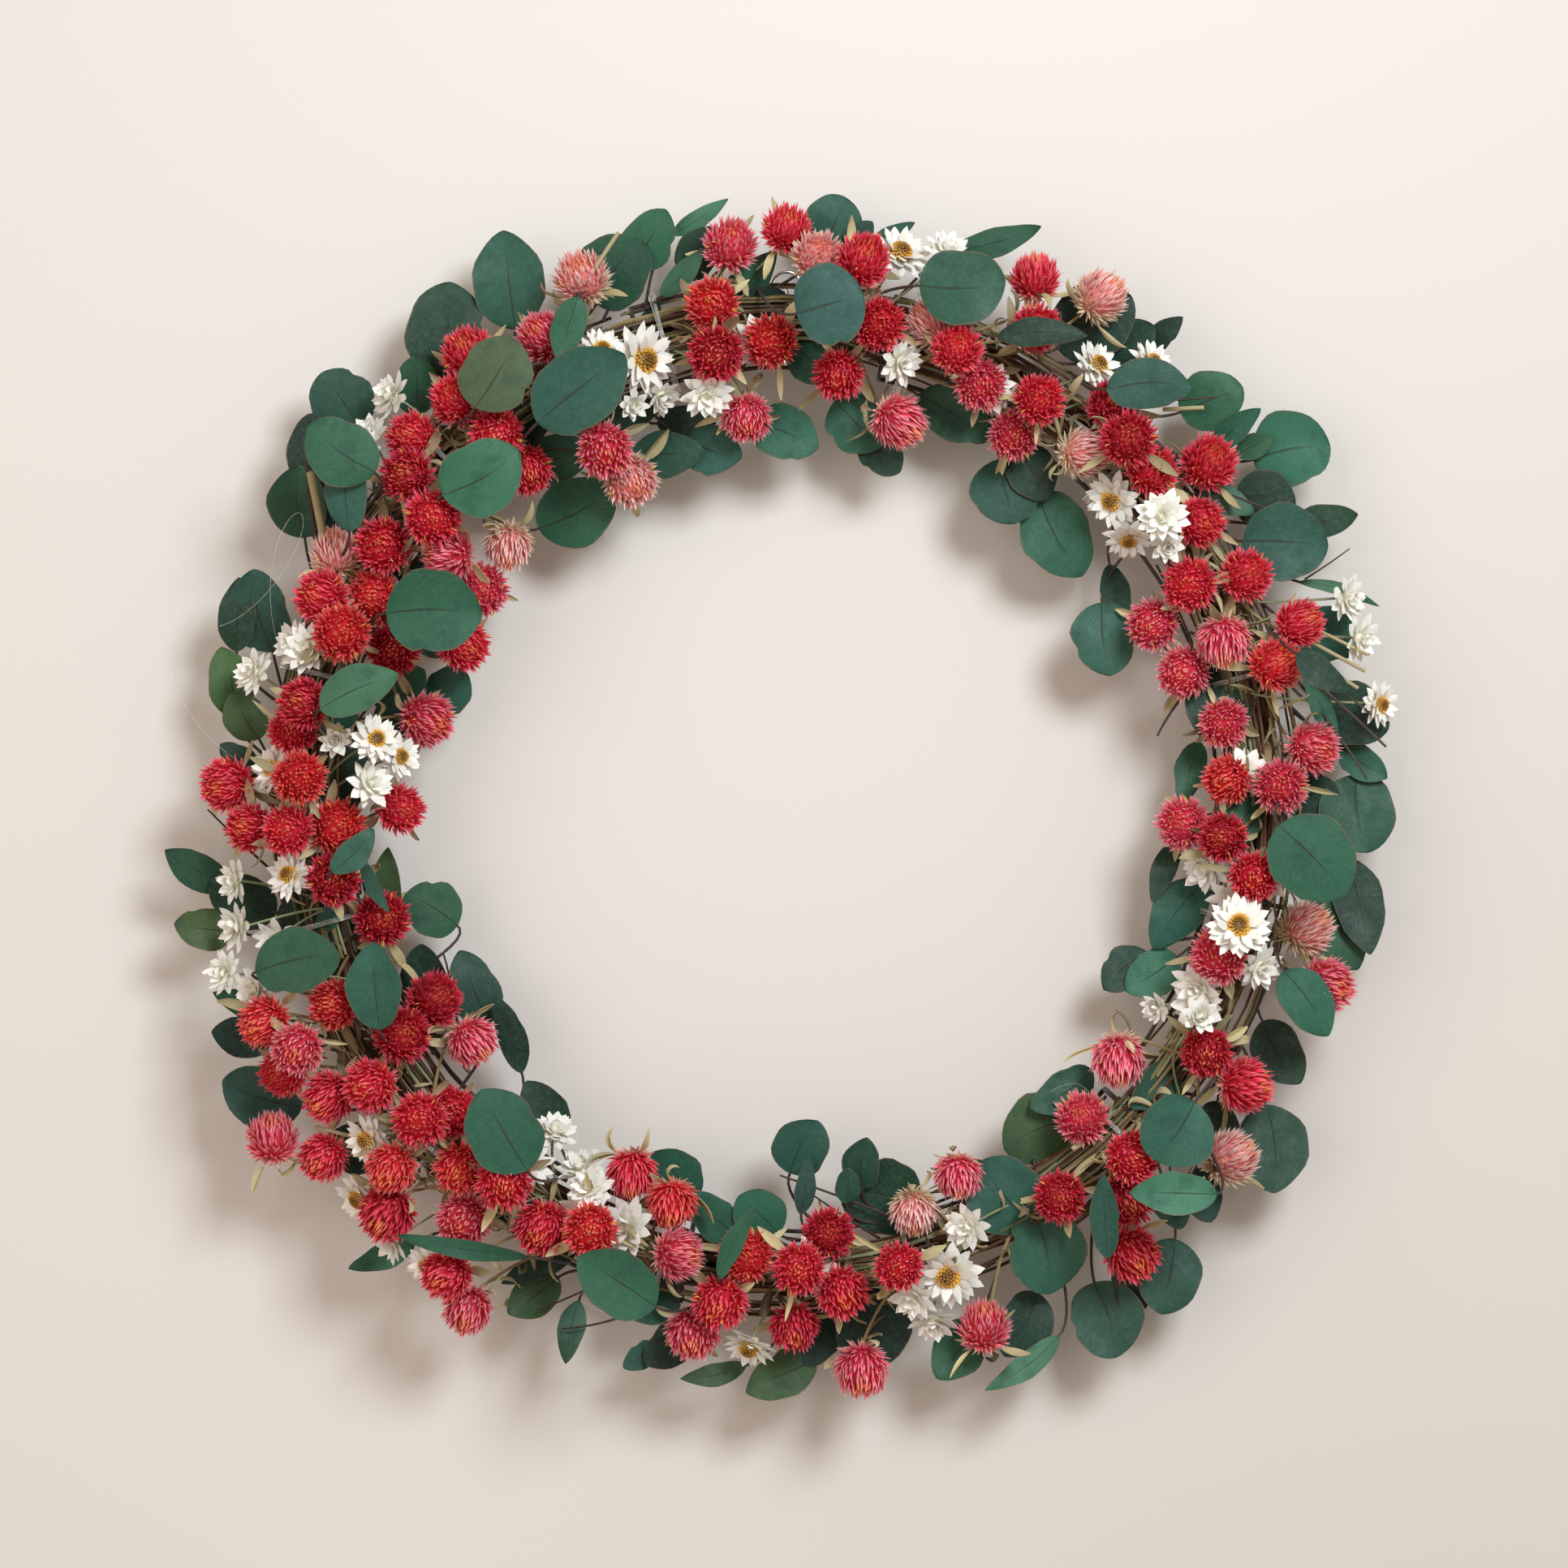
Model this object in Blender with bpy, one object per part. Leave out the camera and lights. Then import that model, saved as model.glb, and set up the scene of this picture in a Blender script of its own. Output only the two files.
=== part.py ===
"""Door wreath: bunches of dried globe amaranth, winged everlasting and eucalyptus tied round a vine base.

Frame, in metres: +Z is up, +X is to the right seen from the front, and -Y points to the front, away from
the door. The origin is the seat of the hook, at the top of the inside of the hanging ring.

A place on the wreath has three measures. The clock angle is in degrees, clockwise from the top seen from
the front. Out is the distance outwards from the centre line of the base. Rise is the height over that
centre line, towards the front. The bunches all point clockwise, and each covers the stems of the next.
"""

import math
from collections import namedtuple

import bmesh
import bpy
import numpy as np
from mathutils import Vector

MM = 0.001

# Base: canes twisted into a ring, and a thin tendril wound round them
RING_R = 218 * MM  # centre line of the base
CANE_R = 4.2 * MM
CANE_COUNT = 5
CANE_GAP = 0.8 * MM  # between neighbouring canes
CANE_TWISTS = 3  # turns of the twist in one round of the base
CANE_STATIONS = 36
CANE_SIDES = 5
CANE_BUTT = 0.4  # share of one station at which each end of a cane stops
TENDRIL_R = 1.3 * MM
TENDRIL_TURNS = 9
TENDRIL_STEPS = 10  # corners in one turn
TENDRIL_SIDES = 4

# Free space between pieces that lie against each other
CLEAR = 0.4 * MM

# Bunches
BUNCH_COUNT = 12
PITCH = 360 / BUNCH_COUNT
FIRST_TIE = 15  # clock angle of the first tie
TAIL = 1.3  # degrees that the stems reach behind their tie
REACH = 24  # degrees that the stems reach past their tie
STEM_POINTS = 4
STEM_SIDES = 4
STALK_SIDES = 3  # of a single flower's stem
STALK_TURN = 0.4  # radians, so that a stalk's edges miss those of the stems it grows from

# Globe amaranth
GLOBE_R = 11.6 * MM
GLOBE_STEMS_R = 1.8 * MM  # bound stems
GLOBE_STALK_R = 0.9 * MM  # a single flower's stem
GLOBE_SEAT = 72  # degrees round the base, from its outer side towards the front

# Winged everlasting
DAISY_R = 9.0 * MM
DAISY_DEPTH = 8.0 * MM
DAISY_CALYX = 0.4  # radius of the calyx, as a share of the flower's
DAISY_SIDES = 6
DAISY_STEMS_R = 1.6 * MM
DAISY_STALK_R = 0.8 * MM
DAISY_SEAT = 108

# Eucalyptus
SPRIG_R = 1.4 * MM
SPRIG_RISE = 3.4 * MM  # of a sprig's stem, to the front or the back of the base's centre line
BRIDGE_TAIL = 2.7  # degrees behind the tie at which the sprig's stem crosses over the base
BRIDGE_STEPS = 6
TWIG_WIDTH = 1.3 * MM
TWIG_LEAN = 4  # degrees that a twig leans clockwise on its way to its leaf
TWIG_MARGIN = 1  # degrees of stem left free of twigs at each end
TWIG_CLIMB = 1.0 * MM
LEAF_FANS = (0.45, 0.7, 0.95)  # rise of the tips, as shares of the band
LEAF_THICK = 0.8 * MM
LEAF_BAND = 12.5 * MM  # leaves lie within this of the centre line, and flowers stand clear of it
LEAF_SHAPE = ((0.2, 0.8), (0.6, 1.0), (1.0, 0.35))  # shares of length and of width

# Ties of clear nylon line
TIE_R = 0.6 * MM
TIE_STEPS = 12
TIE_SIDES = 4
TIE_DRAWN_IN = 1.5  # how soon the line closes in on the back of the base

# Hanger: a steel ring that swings in a wire eye round the base
RING_WIRE_R = 0.8 * MM
HANGING_R = 7.0 * MM  # centre line of the hanging ring
RING_STEPS = 24
RING_SIDES = 6
EYE_WIRE_R = 0.7 * MM
EYE_STEPS = 20
EYE_SIDES = 4
RING_PLAY = 0.5 * MM  # free space round the ring's wire inside the eye
HANGER_BACK = 42  # degrees that the ring sits behind the outer side of the base

# How a flower finds its place: it is raised, then moved aside, until it clears its neighbours
RAISE_STEP = 1.5 * MM
RAISE_STEPS = 60
SHIFTS = ((0, 0), (0.8, 0), (-0.8, 0), (0, 3), (0, -3), (1.6, 0), (-1.6, 0), (1.5, 4), (-1.5, -4))
ATTACH_STEPS = (5, 8, 2, 11, 14, -1, -4)  # degrees behind the flower at which its stem leaves the bunch
ATTACH_FIRST = 1  # degrees past the tie at which the first stem can leave the bunch
ATTACH_LAST = 1.5  # degrees before the stems' end at which the last one can
ELBOWS = (1.5 * MM, 5 * MM, 9 * MM, 14 * MM)  # heights over the stems at which a flower's stem turns out
ATTACH_SPREAD = 0.37  # keeps two stems from leaving the bunch at the very same point
SHARPEST = -0.25  # cosine of the sharpest turn of a flower's stem
ELBOW_LEAN = 0.5  # degrees that a stem leans clockwise before it turns out
FLOWER_CLEAR = 0.6 * MM
HEADS = "any head"  # heads keep clear of everything, their own bunch included

# What each bunch holds. Flowers: clock angle, and out in mm. Leaves: clock angle and out in mm of the base,
# then of the tip, and the width in mm. The first bunch starts at FIRST_TIE.
BUNCHES = (
    {
        "globes": ((20, 1), (25, -10), (25.5, 45), (29.5, 28), (32, -22), (32, 52), (34, 1), (38, 10),
                   (40.5, -11), (43.5, 8)),
        "daisies": ((36.5, 27), (40, 43)),
        "leaves": (((17, 45), (23.5, 69), 14), ((32, 27), (34, 61), 34), ((38.5, 40), (39.5, 68), 13),
                   ((18, -30), (27, -36), 20), ((32, -33), (39, -52), 30), ((42, -38), (51.5, -44), 32)),
    },
    {
        "globes": ((48, 5), (51.5, 28), (57, 8), (62, -14), (64, 11), (64.5, -33), (69.5, 28), (70, -10),
                   (73, 10), (71.5, -28)),
        "daisies": ((49, -18), (53, -23), (54.5, -7), (58, -12), (74.5, 55), (72, 55)),
        "leaves": (((46, 34), (48, 62), 26), ((51, 35), (50.5, 62), 13), ((53.5, 46), (57, 78), 35),
                   ((61, 24), (64, 54), 32), ((54, -34), (62, -42), 14),
                   ((59, -48), (68, -58), 28)),
    },
    {
        "globes": ((81.5, -16), (87.5, -17), (88.5, 9), (84.5, 23), (93.5, -24), (93.5, -37), (97.5, -10),
                   (104, 26)),
        "daisies": ((81, 57), (98, -30), (101.5, 4), (101.5, -14)),
        "leaves": (((80, 32), (83, 58), 24), ((85, 40), (88, 58), 16), ((87.5, 46), (95, 48), 32),
                   ((96, 42), (104, 56), 24), ((82, -27), (90, -36), 16), ((97, -38), (105, -42), 12),
                   ((104, -26), (112, -38), 24)),
    },
    {
        "globes": ((109, 42), (111.5, -10), (122, 28), (122.5, 7), (129, 42), (128, -26), (135.5, -20),
                   (137.5, 10)),
        "daisies": ((108, 11), (107, -8), (116.5, -14), (119, -4), (119.5, -25), (128, 21)),
        "leaves": (((109, 24), (113.5, 50), 24), ((114, 28), (118, 52), 24), ((122.5, 46), (127, 72), 32),
                   ((125, 28), (132, 34), 16), ((112, -28), (119, -44), 26), ((133, -30), (140, -38), 18)),
    },
    {
        "globes": ((141, 24), (142.5, 44), (145.5, 1), (156, -30), (162, -22), (159.5, 39), (168, 2)),
        "daisies": ((159, -8), (163, 10), (164.5, 31), (166, 19)),
        "leaves": (((138, 56), (145, 66), 28), ((148, 48), (149.5, 78), 34), ((153, 36), (158, 58), 24),
                   ((160, 40), (166, 54), 24), ((139, -26), (147, -36), 26), ((162, -26), (170, -40), 30)),
    },
    {
        "globes": ((175, 11), (174.5, -19), (178.5, -6), (180, 22), (172.5, 44), (190, 29), (187.5, 9),
                   (185, -10), (193.5, -9)),
        "daisies": ((184, 34),),
        "leaves": (((168, 28), (175, 38), 28), ((176, 42), (183, 52), 22), ((190.5, 28), (193.5, 50), 18),
                   ((169, -38), (167, -57), 16), ((177, -50), (177, -70), 26), ((183, -24), (187, -38), 20),
                   ((194, -26), (200, -40), 14)),
    },
    {
        "globes": ((197.5, -28), (202.5, -34), (204.5, -8), (210.5, 4), (212, 56), (214, 46), (219, 26),
                   (218, -1), (223, 8), (224, 45), (227, 28), (227, -10)),
        "daisies": ((199.5, -15), (205.5, -26), (209.5, -27), (214.5, -20), (215, -35), (218.5, 51),
                    (222, 54)),
        "leaves": (((195, 56), (200.5, 44), 20), ((202.5, 33), (201.5, 60), 14), ((206, 28), (209.5, 50), 20),
                   ((220, 46), (222.5, 72), 13), ((217.5, -26), (224, -38), 24)),
    },
    {
        "globes": ((231.5, 49), (230.5, 7), (237, 30), (237, 10), (232.5, -37), (238.5, -17), (239.5, -33),
                   (236.5, 63), (241.5, 43), (244.5, 32), (244, 7), (248.5, 38), (253.5, -26)),
        "daisies": ((227, 50), (231, 28), (253, 51), (252, 39)),
        "leaves": (((238, 48), (244, 70), 28), ((245, 46), (247, 62), 16), ((247, 44), (251.5, 54), 12),
                   ((226, -44), (235, -56), 13), ((236, -54), (246, -50), 20), ((242, -27), (246, -36), 20),
                   ((249, -56), (255, -40), 24)),
    },
    {
        "globes": ((261.5, -6), (266.5, -17), (266.5, 7), (268.5, 30), (268.5, -42), (272.5, 4), (271.5, 37),
                   (278, 8), (283, 5), (282.5, -50)),
        "daisies": ((257, 41), (260, 38), (256, 24), (261.5, 11), (273.5, 17), (274, -31), (277, -36),
                    (278, -43), (276, -17), (283.5, 33)),
        "leaves": (((257, 44), (258, 66), 20), ((261, 45), (266, 62), 17), ((276.5, 30), (283, 38), 20),
                   ((278, 40), (284.5, 50), 22), ((257, -24), (258, -47), 18), ((281, -34), (287, -38), 12)),
    },
    {
        "globes": ((290, -1), (295, 15), (298.5, 15), (296, -9), (292.5, -27), (303, -2), (310, -11),
                   (312, 11), (304.5, -33), (304.5, -49), (312.5, -46), (295.5, -55), (315.5, 24)),
        "daisies": ((286, 15), (289, 14), (313, 36), (311, 33)),
        "leaves": (((286, 30), (293, 46), 28), ((285.5, 46), (291.5, 52), 15), ((298.5, 36), (304, 50), 26),
                   ((303, 44), (309, 60), 26), ((311, 42), (312, 69), 28), ((295, -25), (300, -52), 36),
                   ((287, -50), (292, -58), 22)),
    },
    {
        "globes": ((320.5, 20), (324.5, 31), (321.5, -7), (321, -27), (332, 22), (338.5, 37), (332.5, -43),
                   (334, -56)),
        "daisies": ((315.5, 41), (339.5, 3), (344, -9), (343, -27), (340.5, -27)),
        "leaves": (((320, 36), (327, 60), 34), ((329, 31), (333, 72), 34), ((339, 28), (344.5, 44), 32),
                   ((344, 31), (347.5, 56), 22), ((319, -50), (330, -54), 30), ((324, -26), (330, -32), 18),
                   ((336, -46), (345, -52), 20), ((344.5, -42), (352, -58), 22)),
    },
    {
        "globes": ((351.5, 9), (349.5, -18), (358, -10), (355, 36), (360, 42), (362.5, 28), (366.5, 27),
                   (371, 4), (367, -23), (354, -43), (377, 5), (376.5, -38)),
        "daisies": ((350.5, -32), (369.5, 36), (373.5, 38), (376.5, 44), (373.5, -17)),
        "leaves": (((350, 25), (351.5, 46), 20), ((363.5, 36), (365.5, 56), 26), ((368.5, 40), (372.5, 52), 8),
                   ((355, -47), (365, -54), 26), ((366, -34), (375, -50), 28)),
    },
)

GREEN = (0.045, 0.150, 0.100, 1.0)
RED = (0.560, 0.040, 0.085, 1.0)
WHITE = (0.850, 0.830, 0.760, 1.0)
BROWN = (0.160, 0.085, 0.050, 1.0)
STEEL = (0.600, 0.600, 0.620, 1.0)
CLEAR_NYLON = (0.750, 0.760, 0.760, 1.0)
SHARP = math.radians(60)  # edges steeper than this stay sharp where a piece is shaded smooth

# Layers round the base, from its centre line outwards
CANE_LAY = (2 * CANE_R + CANE_GAP) / (2 * math.sin(math.pi / CANE_COUNT))
BUNDLE_R = CANE_LAY + CANE_R
TENDRIL_LAY = (BUNDLE_R + CLEAR + TENDRIL_R) / math.cos(math.pi / TENDRIL_STEPS)
BASE_R = TENDRIL_LAY + TENDRIL_R
EYE_LAY = (BASE_R + CLEAR + EYE_WIRE_R) / math.cos(math.pi / EYE_STEPS)
STEM_BED = EYE_LAY + EYE_WIRE_R + CLEAR  # stems lie on this
SPRIG_LAY = STEM_BED + SPRIG_R
STEM_TOP = STEM_BED + 2 * max(GLOBE_STEMS_R, DAISY_STEMS_R, SPRIG_R)
TIE_LAY = (STEM_TOP + CLEAR + TIE_R) / math.cos(math.pi / TIE_STEPS)
LEAF_EDGE = TIE_LAY + TIE_R + 2 * CLEAR  # leaves start this far from the centre line

# The ring's lowest wire: the axis that it swings about
PIVOT_REACH = BASE_R + RING_PLAY + RING_WIRE_R
PIVOT_OUT = PIVOT_REACH * math.cos(math.radians(HANGER_BACK))
PIVOT_RISE = -PIVOT_REACH * math.sin(math.radians(HANGER_BACK))
SEAT_OVER_PIVOT = 2 * HANGING_R - RING_WIRE_R
CENTRE_Z = -(RING_R + PIVOT_OUT + SEAT_OVER_PIVOT)


def place(clock, out, rise):
    """The point at a clock angle, a distance out and a rise."""
    turn = math.radians(clock)
    reach = RING_R + out
    return Vector((reach * math.sin(turn), PIVOT_RISE - rise, CENTRE_Z + reach * math.cos(turn)))


def round_base(clock, turn, reach):
    """The point at a clock angle, at a turn and a reach round the base. A turn of 90 degrees faces front."""
    turn = math.radians(turn)
    return place(clock, reach * math.cos(turn), reach * math.sin(turn))


def material(name, colour, roughness, metallic=0.0):
    made = bpy.data.materials.new(name)
    made.use_nodes = True
    shader = made.node_tree.nodes["Principled BSDF"]
    shader.inputs["Base Color"].default_value = colour
    shader.inputs["Roughness"].default_value = roughness
    shader.inputs["Metallic"].default_value = metallic
    return made


def bar(mesh, points, radius, sides, closed=False, start_turn=0, across=None):
    """Adds a round bar along the points. Each ring of corners stands square to the path."""
    count = len(points)
    rings = []
    for number, point in enumerate(points):
        before = points[number - 1] if closed or number else point
        after = points[(number + 1) % count] if closed or number < count - 1 else point
        along = ((point - before).normalized() + (after - point).normalized()).normalized()
        if across is None:
            across = along.orthogonal()
        across = (across - along * across.dot(along)).normalized()
        other = along.cross(across)
        ring = []
        for corner in range(sides):
            turn = start_turn + 2 * math.pi * corner / sides
            ring.append(mesh.verts.new(point + (across * math.cos(turn) + other * math.sin(turn)) * radius))
        rings.append(ring)
    for number in range(count if closed else count - 1):
        lower = rings[number]
        upper = rings[(number + 1) % count]
        for corner in range(sides):
            following = (corner + 1) % sides
            mesh.faces.new((lower[corner], lower[following], upper[following], upper[corner]))
    if not closed:
        mesh.faces.new(rings[0])
        mesh.faces.new(rings[-1])


def globe(mesh, centre, facing):
    """Adds a round amaranth head, with its poles on the line of its stem."""
    turn = facing.to_track_quat("Z", "Y").to_matrix().to_4x4()
    turn.translation = centre
    bmesh.ops.create_icosphere(mesh, subdivisions=1, radius=GLOBE_R, matrix=turn)


def daisy(mesh, centre, facing):
    """Adds an everlasting head: a cup that flares from its calyx to its open side."""
    turn = facing.to_track_quat("Z", "Y").to_matrix().to_4x4()
    turn.translation = centre
    bmesh.ops.create_cone(
        mesh,
        cap_ends=True,
        segments=DAISY_SIDES,
        radius1=DAISY_R * DAISY_CALYX,
        radius2=DAISY_R,
        depth=DAISY_DEPTH,
        matrix=turn,
    )


def solid(name, mesh, look):
    """An object from a mesh under construction."""
    bmesh.ops.recalc_face_normals(mesh, faces=mesh.faces)
    data = bpy.data.meshes.new(name)
    mesh.to_mesh(data)
    mesh.free()
    data.materials.append(look)
    made = bpy.data.objects.new(name, data)
    bpy.context.scene.collection.objects.link(made)
    return made


def smooth(made):
    made.data.shade_smooth()
    made.data.set_sharp_from_angle(angle=SHARP)


def grown_together(name, shapes, look):
    """One solid from a stem, which comes first, and the shapes that grow from it.

    The shapes cross at all angles, where the exact solver leaves parts unjoined, so the unions are MANIFOLD.
    """
    made = solid(name, shapes[0], look)
    guides = []
    for shape in shapes[1:]:
        guide = solid(name + "_guide", shape, look)
        guide.hide_render = True
        guide.display_type = "WIRE"
        guides.append(guide)
        union = made.modifiers.new("Union", "BOOLEAN")
        union.operation = "UNION"
        union.solver = "MANIFOLD"
        union.object = guide
    graph = bpy.context.evaluated_depsgraph_get()
    joined = bpy.data.meshes.new_from_object(made.evaluated_get(graph))
    made.modifiers.clear()
    made.data = joined
    made.data.name = name
    for guide in guides:
        bpy.data.objects.remove(guide)
    smooth(made)


class Space:
    """The bars and balls that are already in place, so that the next piece can be set clear of them."""

    def __init__(self):
        self.names = []
        self.owner = np.zeros(0, int)
        self.start = np.zeros((0, 3))
        self.end = np.zeros((0, 3))
        self.radius = np.zeros(0)

    def number(self, name):
        if name not in self.names:
            self.names.append(name)
        return self.names.index(name)

    def take(self, name, points, radius):
        """Marks the space of a bar through the points, or of a ball where there is one point."""
        points = np.array(list(points) * (2 if len(points) == 1 else 1))
        count = len(points) - 1
        self.owner = np.append(self.owner, [self.number(name)] * count)
        self.start = np.vstack((self.start, points[:-1]))
        self.end = np.vstack((self.end, points[1:]))
        self.radius = np.append(self.radius, [radius] * count)

    def room(self, name, points, radius):
        """The least free space between a bar or a ball and all that belongs to other pieces."""
        others = self.owner != self.number(name)
        starts = self.start[others]
        theirs = self.end[others] - starts
        radii = self.radius[others]
        points = np.array(list(points) * (2 if len(points) == 1 else 1))
        tiny = 1e-15
        theirs_theirs = (theirs * theirs).sum(axis=1) + tiny
        least = 1.0
        for start, end in zip(points[:-1], points[1:]):
            mine = end - start
            apart = start - starts
            mine_mine = mine @ mine + tiny
            mine_theirs = theirs @ mine
            mine_apart = apart @ mine
            theirs_apart = (theirs * apart).sum(axis=1)
            spread = mine_mine * theirs_theirs - mine_theirs**2 + tiny * mine_mine
            along_mine = np.clip((mine_theirs * theirs_apart - mine_apart * theirs_theirs) / spread, 0, 1)
            along_theirs = np.clip((mine_theirs * along_mine + theirs_apart) / theirs_theirs, 0, 1)
            along_mine = np.clip((mine_theirs * along_theirs - mine_apart) / mine_mine, 0, 1)
            between = apart + along_mine[:, None] * mine - along_theirs[:, None] * theirs
            least = min(least, float((np.linalg.norm(between, axis=1) - radii).min()) - radius)
        return least


def canes():
    """The canes of the base. Each is cut once, and its two ends butt inside the twist."""
    for number in range(CANE_COUNT):
        cut = round(CANE_STATIONS * number / CANE_COUNT)

        def at(station):
            clock = 360 * station / CANE_STATIONS
            turn = 360 * number / CANE_COUNT + CANE_TWISTS * clock
            return round_base(clock, turn, CANE_LAY)

        points = [at(cut + 1 + step) for step in range(CANE_STATIONS)]
        first = points[-1].lerp(points[0], 1 - CANE_BUTT)
        last = points[-1].lerp(points[0], CANE_BUTT)
        mesh = bmesh.new()
        bar(mesh, [first] + points + [last], CANE_R, CANE_SIDES)
        smooth(solid(f"vine_cane_{number + 1}", mesh, bark))


def tendril():
    """The thin tendril that is wound round all the canes."""
    steps = TENDRIL_TURNS * TENDRIL_STEPS
    points = []
    for step in range(steps):
        turn = 360 * step / TENDRIL_STEPS
        points.append(round_base(FIRST_TIE + 360 * step / steps, turn, TENDRIL_LAY))
    mesh = bmesh.new()
    bar(mesh, points, TENDRIL_R, TENDRIL_SIDES)
    smooth(solid("vine_tendril", mesh, bark))


def hanger_eye():
    """The wire eye round the base, with a pocket for the hanging ring's wire."""
    points = []
    for step in range(EYE_STEPS):
        turn = -HANGER_BACK + 360 * step / EYE_STEPS
        reach = EYE_LAY
        if step == 0:
            reach = PIVOT_REACH + RING_WIRE_R + RING_PLAY + EYE_WIRE_R
        points.append(round_base(0, turn, reach))
    mesh = bmesh.new()
    bar(mesh, points, EYE_WIRE_R, EYE_SIDES, closed=True)
    smooth(solid("hanger_eye", mesh, steel))


def hanging_ring():
    """The ring that goes over the hook. Its origin is on its lowest wire, which turns in the eye."""
    points = []
    for step in range(RING_STEPS):
        turn = 2 * math.pi * step / RING_STEPS
        points.append(Vector((HANGING_R * math.sin(turn), 0, HANGING_R * (1 - math.cos(turn)))))
    mesh = bmesh.new()
    bar(mesh, points, RING_WIRE_R, RING_SIDES, closed=True)
    made = solid("hanging_ring", mesh, steel)
    made.location = (0, 0, -SEAT_OVER_PIVOT)
    smooth(made)


def tie(name, clock):
    """The loop of nylon line that binds a bunch's stems, drawn in behind the base where there are none."""
    back_lay = (BASE_R + CLEAR + TIE_R) / math.cos(math.pi / TIE_STEPS)
    points = []
    for step in range(TIE_STEPS):
        turn = 360 * (step + 0.5) / TIE_STEPS
        behind = max(0, -math.sin(math.radians(turn)) - math.sin(math.pi / TIE_STEPS))
        reach = TIE_LAY + (back_lay - TIE_LAY) * min(1, behind * TIE_DRAWN_IN)
        points.append(round_base(clock, turn, reach))
    space.take(name, points + points[:1], TIE_R)
    mesh = bmesh.new()
    bar(mesh, points, TIE_R, TIE_SIDES, closed=True)
    smooth(solid(name, mesh, nylon))


def laid(first, last, turn, reach):
    """The points of a stem laid along the base from one clock angle to another."""
    step = (last - first) / (STEM_POINTS - 1)
    return [round_base(first + step * number, turn, reach) for number in range(STEM_POINTS)]


def stem_point(first, last, clock, turn, reach):
    """The point at a clock angle on the straight stretches of a laid stem."""
    points = laid(first, last, turn, reach)
    step = (STEM_POINTS - 1) * (clock - first) / (last - first)
    whole = min(int(step), STEM_POINTS - 2)
    return points[whole].lerp(points[whole + 1], step - whole)


def flower_route(name, tie_clock, kind, clock, out):
    """The points of a flower's stem, from its bunch to the head's centre.

    The first route that is clear of all other pieces is taken. Where none is, the one with the most room is.
    """
    ends = (tie_clock - TAIL, tie_clock + REACH)
    most = -1.0
    for rise_step in range(RAISE_STEPS):
        for aside, outwards in SHIFTS:
            head_clock = clock + aside
            head_out = (out + outwards) * MM
            over_bed = math.sqrt(max(0, (STEM_TOP + CLEAR + kind.head_r) ** 2 - head_out**2))
            rise = max(over_bed, LEAF_BAND + CLEAR + kind.head_r) + rise_step * RAISE_STEP
            centre = place(head_clock, head_out, rise)
            if space.room(HEADS, [centre], kind.head_r) < FLOWER_CLEAR:
                continue
            for back in ATTACH_STEPS:
                start_clock = min(max(head_clock - back, tie_clock + ATTACH_FIRST), ends[1] - ATTACH_LAST)
                start_clock += ATTACH_SPREAD * (clock + out) % 1
                start = stem_point(*ends, start_clock, kind.seat, STEM_BED + kind.stems_r)
                for elbow in ELBOWS:
                    corner = round_base(start_clock + ELBOW_LEAN, kind.seat, STEM_TOP + elbow)
                    points = [start, corner, centre]
                    if (corner - start).normalized().dot((centre - corner).normalized()) < SHARPEST:
                        continue
                    room = space.room(name, points, kind.stalk_r)
                    if room >= FLOWER_CLEAR:
                        return points
                    if room > most:
                        most = room
                        roomiest = points
    return roomiest


def leaf(sprig_rise, tie_clock, base, tip, width, fan):
    """A nearly round leaf with the flat twig that carries it."""
    to_front = 1 if sprig_rise > 0 else -1
    outer = 1 if base[1] > 0 else -1
    tip_rise = to_front * (LEAF_BAND - LEAF_THICK - CLEAR) * fan
    start_clock = min(max(base[0] - TWIG_LEAN, tie_clock + TWIG_MARGIN), tie_clock + REACH - TWIG_MARGIN)
    tilt = math.degrees(math.asin(sprig_rise / SPRIG_LAY))
    side_turn = tilt if outer > 0 else 180 - tilt
    start = stem_point(tie_clock, tie_clock + REACH, start_clock, side_turn, SPRIG_LAY)
    push = 0
    for _ in range(2):
        heel = place(base[0], base[1] * MM + outer * push, sprig_rise + to_front * TWIG_CLIMB)
        point = place(tip[0], tip[1] * MM + outer * push, tip_rise)
        across = (point - heel).cross(Vector((0, -1, 0))).normalized()
        twig_across = (heel - start).cross(Vector((0, -1, 0))).normalized()
        sections = [(start, twig_across * TWIG_WIDTH / 2)]
        sections.append((heel, (across + twig_across).normalized() * TWIG_WIDTH / 2))
        for share, breadth in LEAF_SHAPE:
            sections.append((heel.lerp(point, share), across * breadth * width * MM / 2))
        edges = [centre + side * hand for centre, side in sections[2:] for hand in (1, -1)]
        nearest = min((math.hypot(spot.x, spot.z - CENTRE_Z) - RING_R) * outer for spot in edges)
        push += max(0, LEAF_EDGE - nearest)
    front = Vector((0, -LEAF_THICK / 2, 0))
    mesh = bmesh.new()
    rings = []
    for centre, side in sections:
        corners = (centre - side - front, centre + side - front, centre + side + front, centre - side + front)
        rings.append([mesh.verts.new(corner) for corner in corners])
    for lower, upper in zip(rings[:-1], rings[1:]):
        for corner in range(4):
            following = (corner + 1) % 4
            mesh.faces.new((lower[corner], lower[following], upper[following], upper[corner]))
    mesh.faces.new(rings[0])
    mesh.faces.new(rings[-1])
    return mesh


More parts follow.
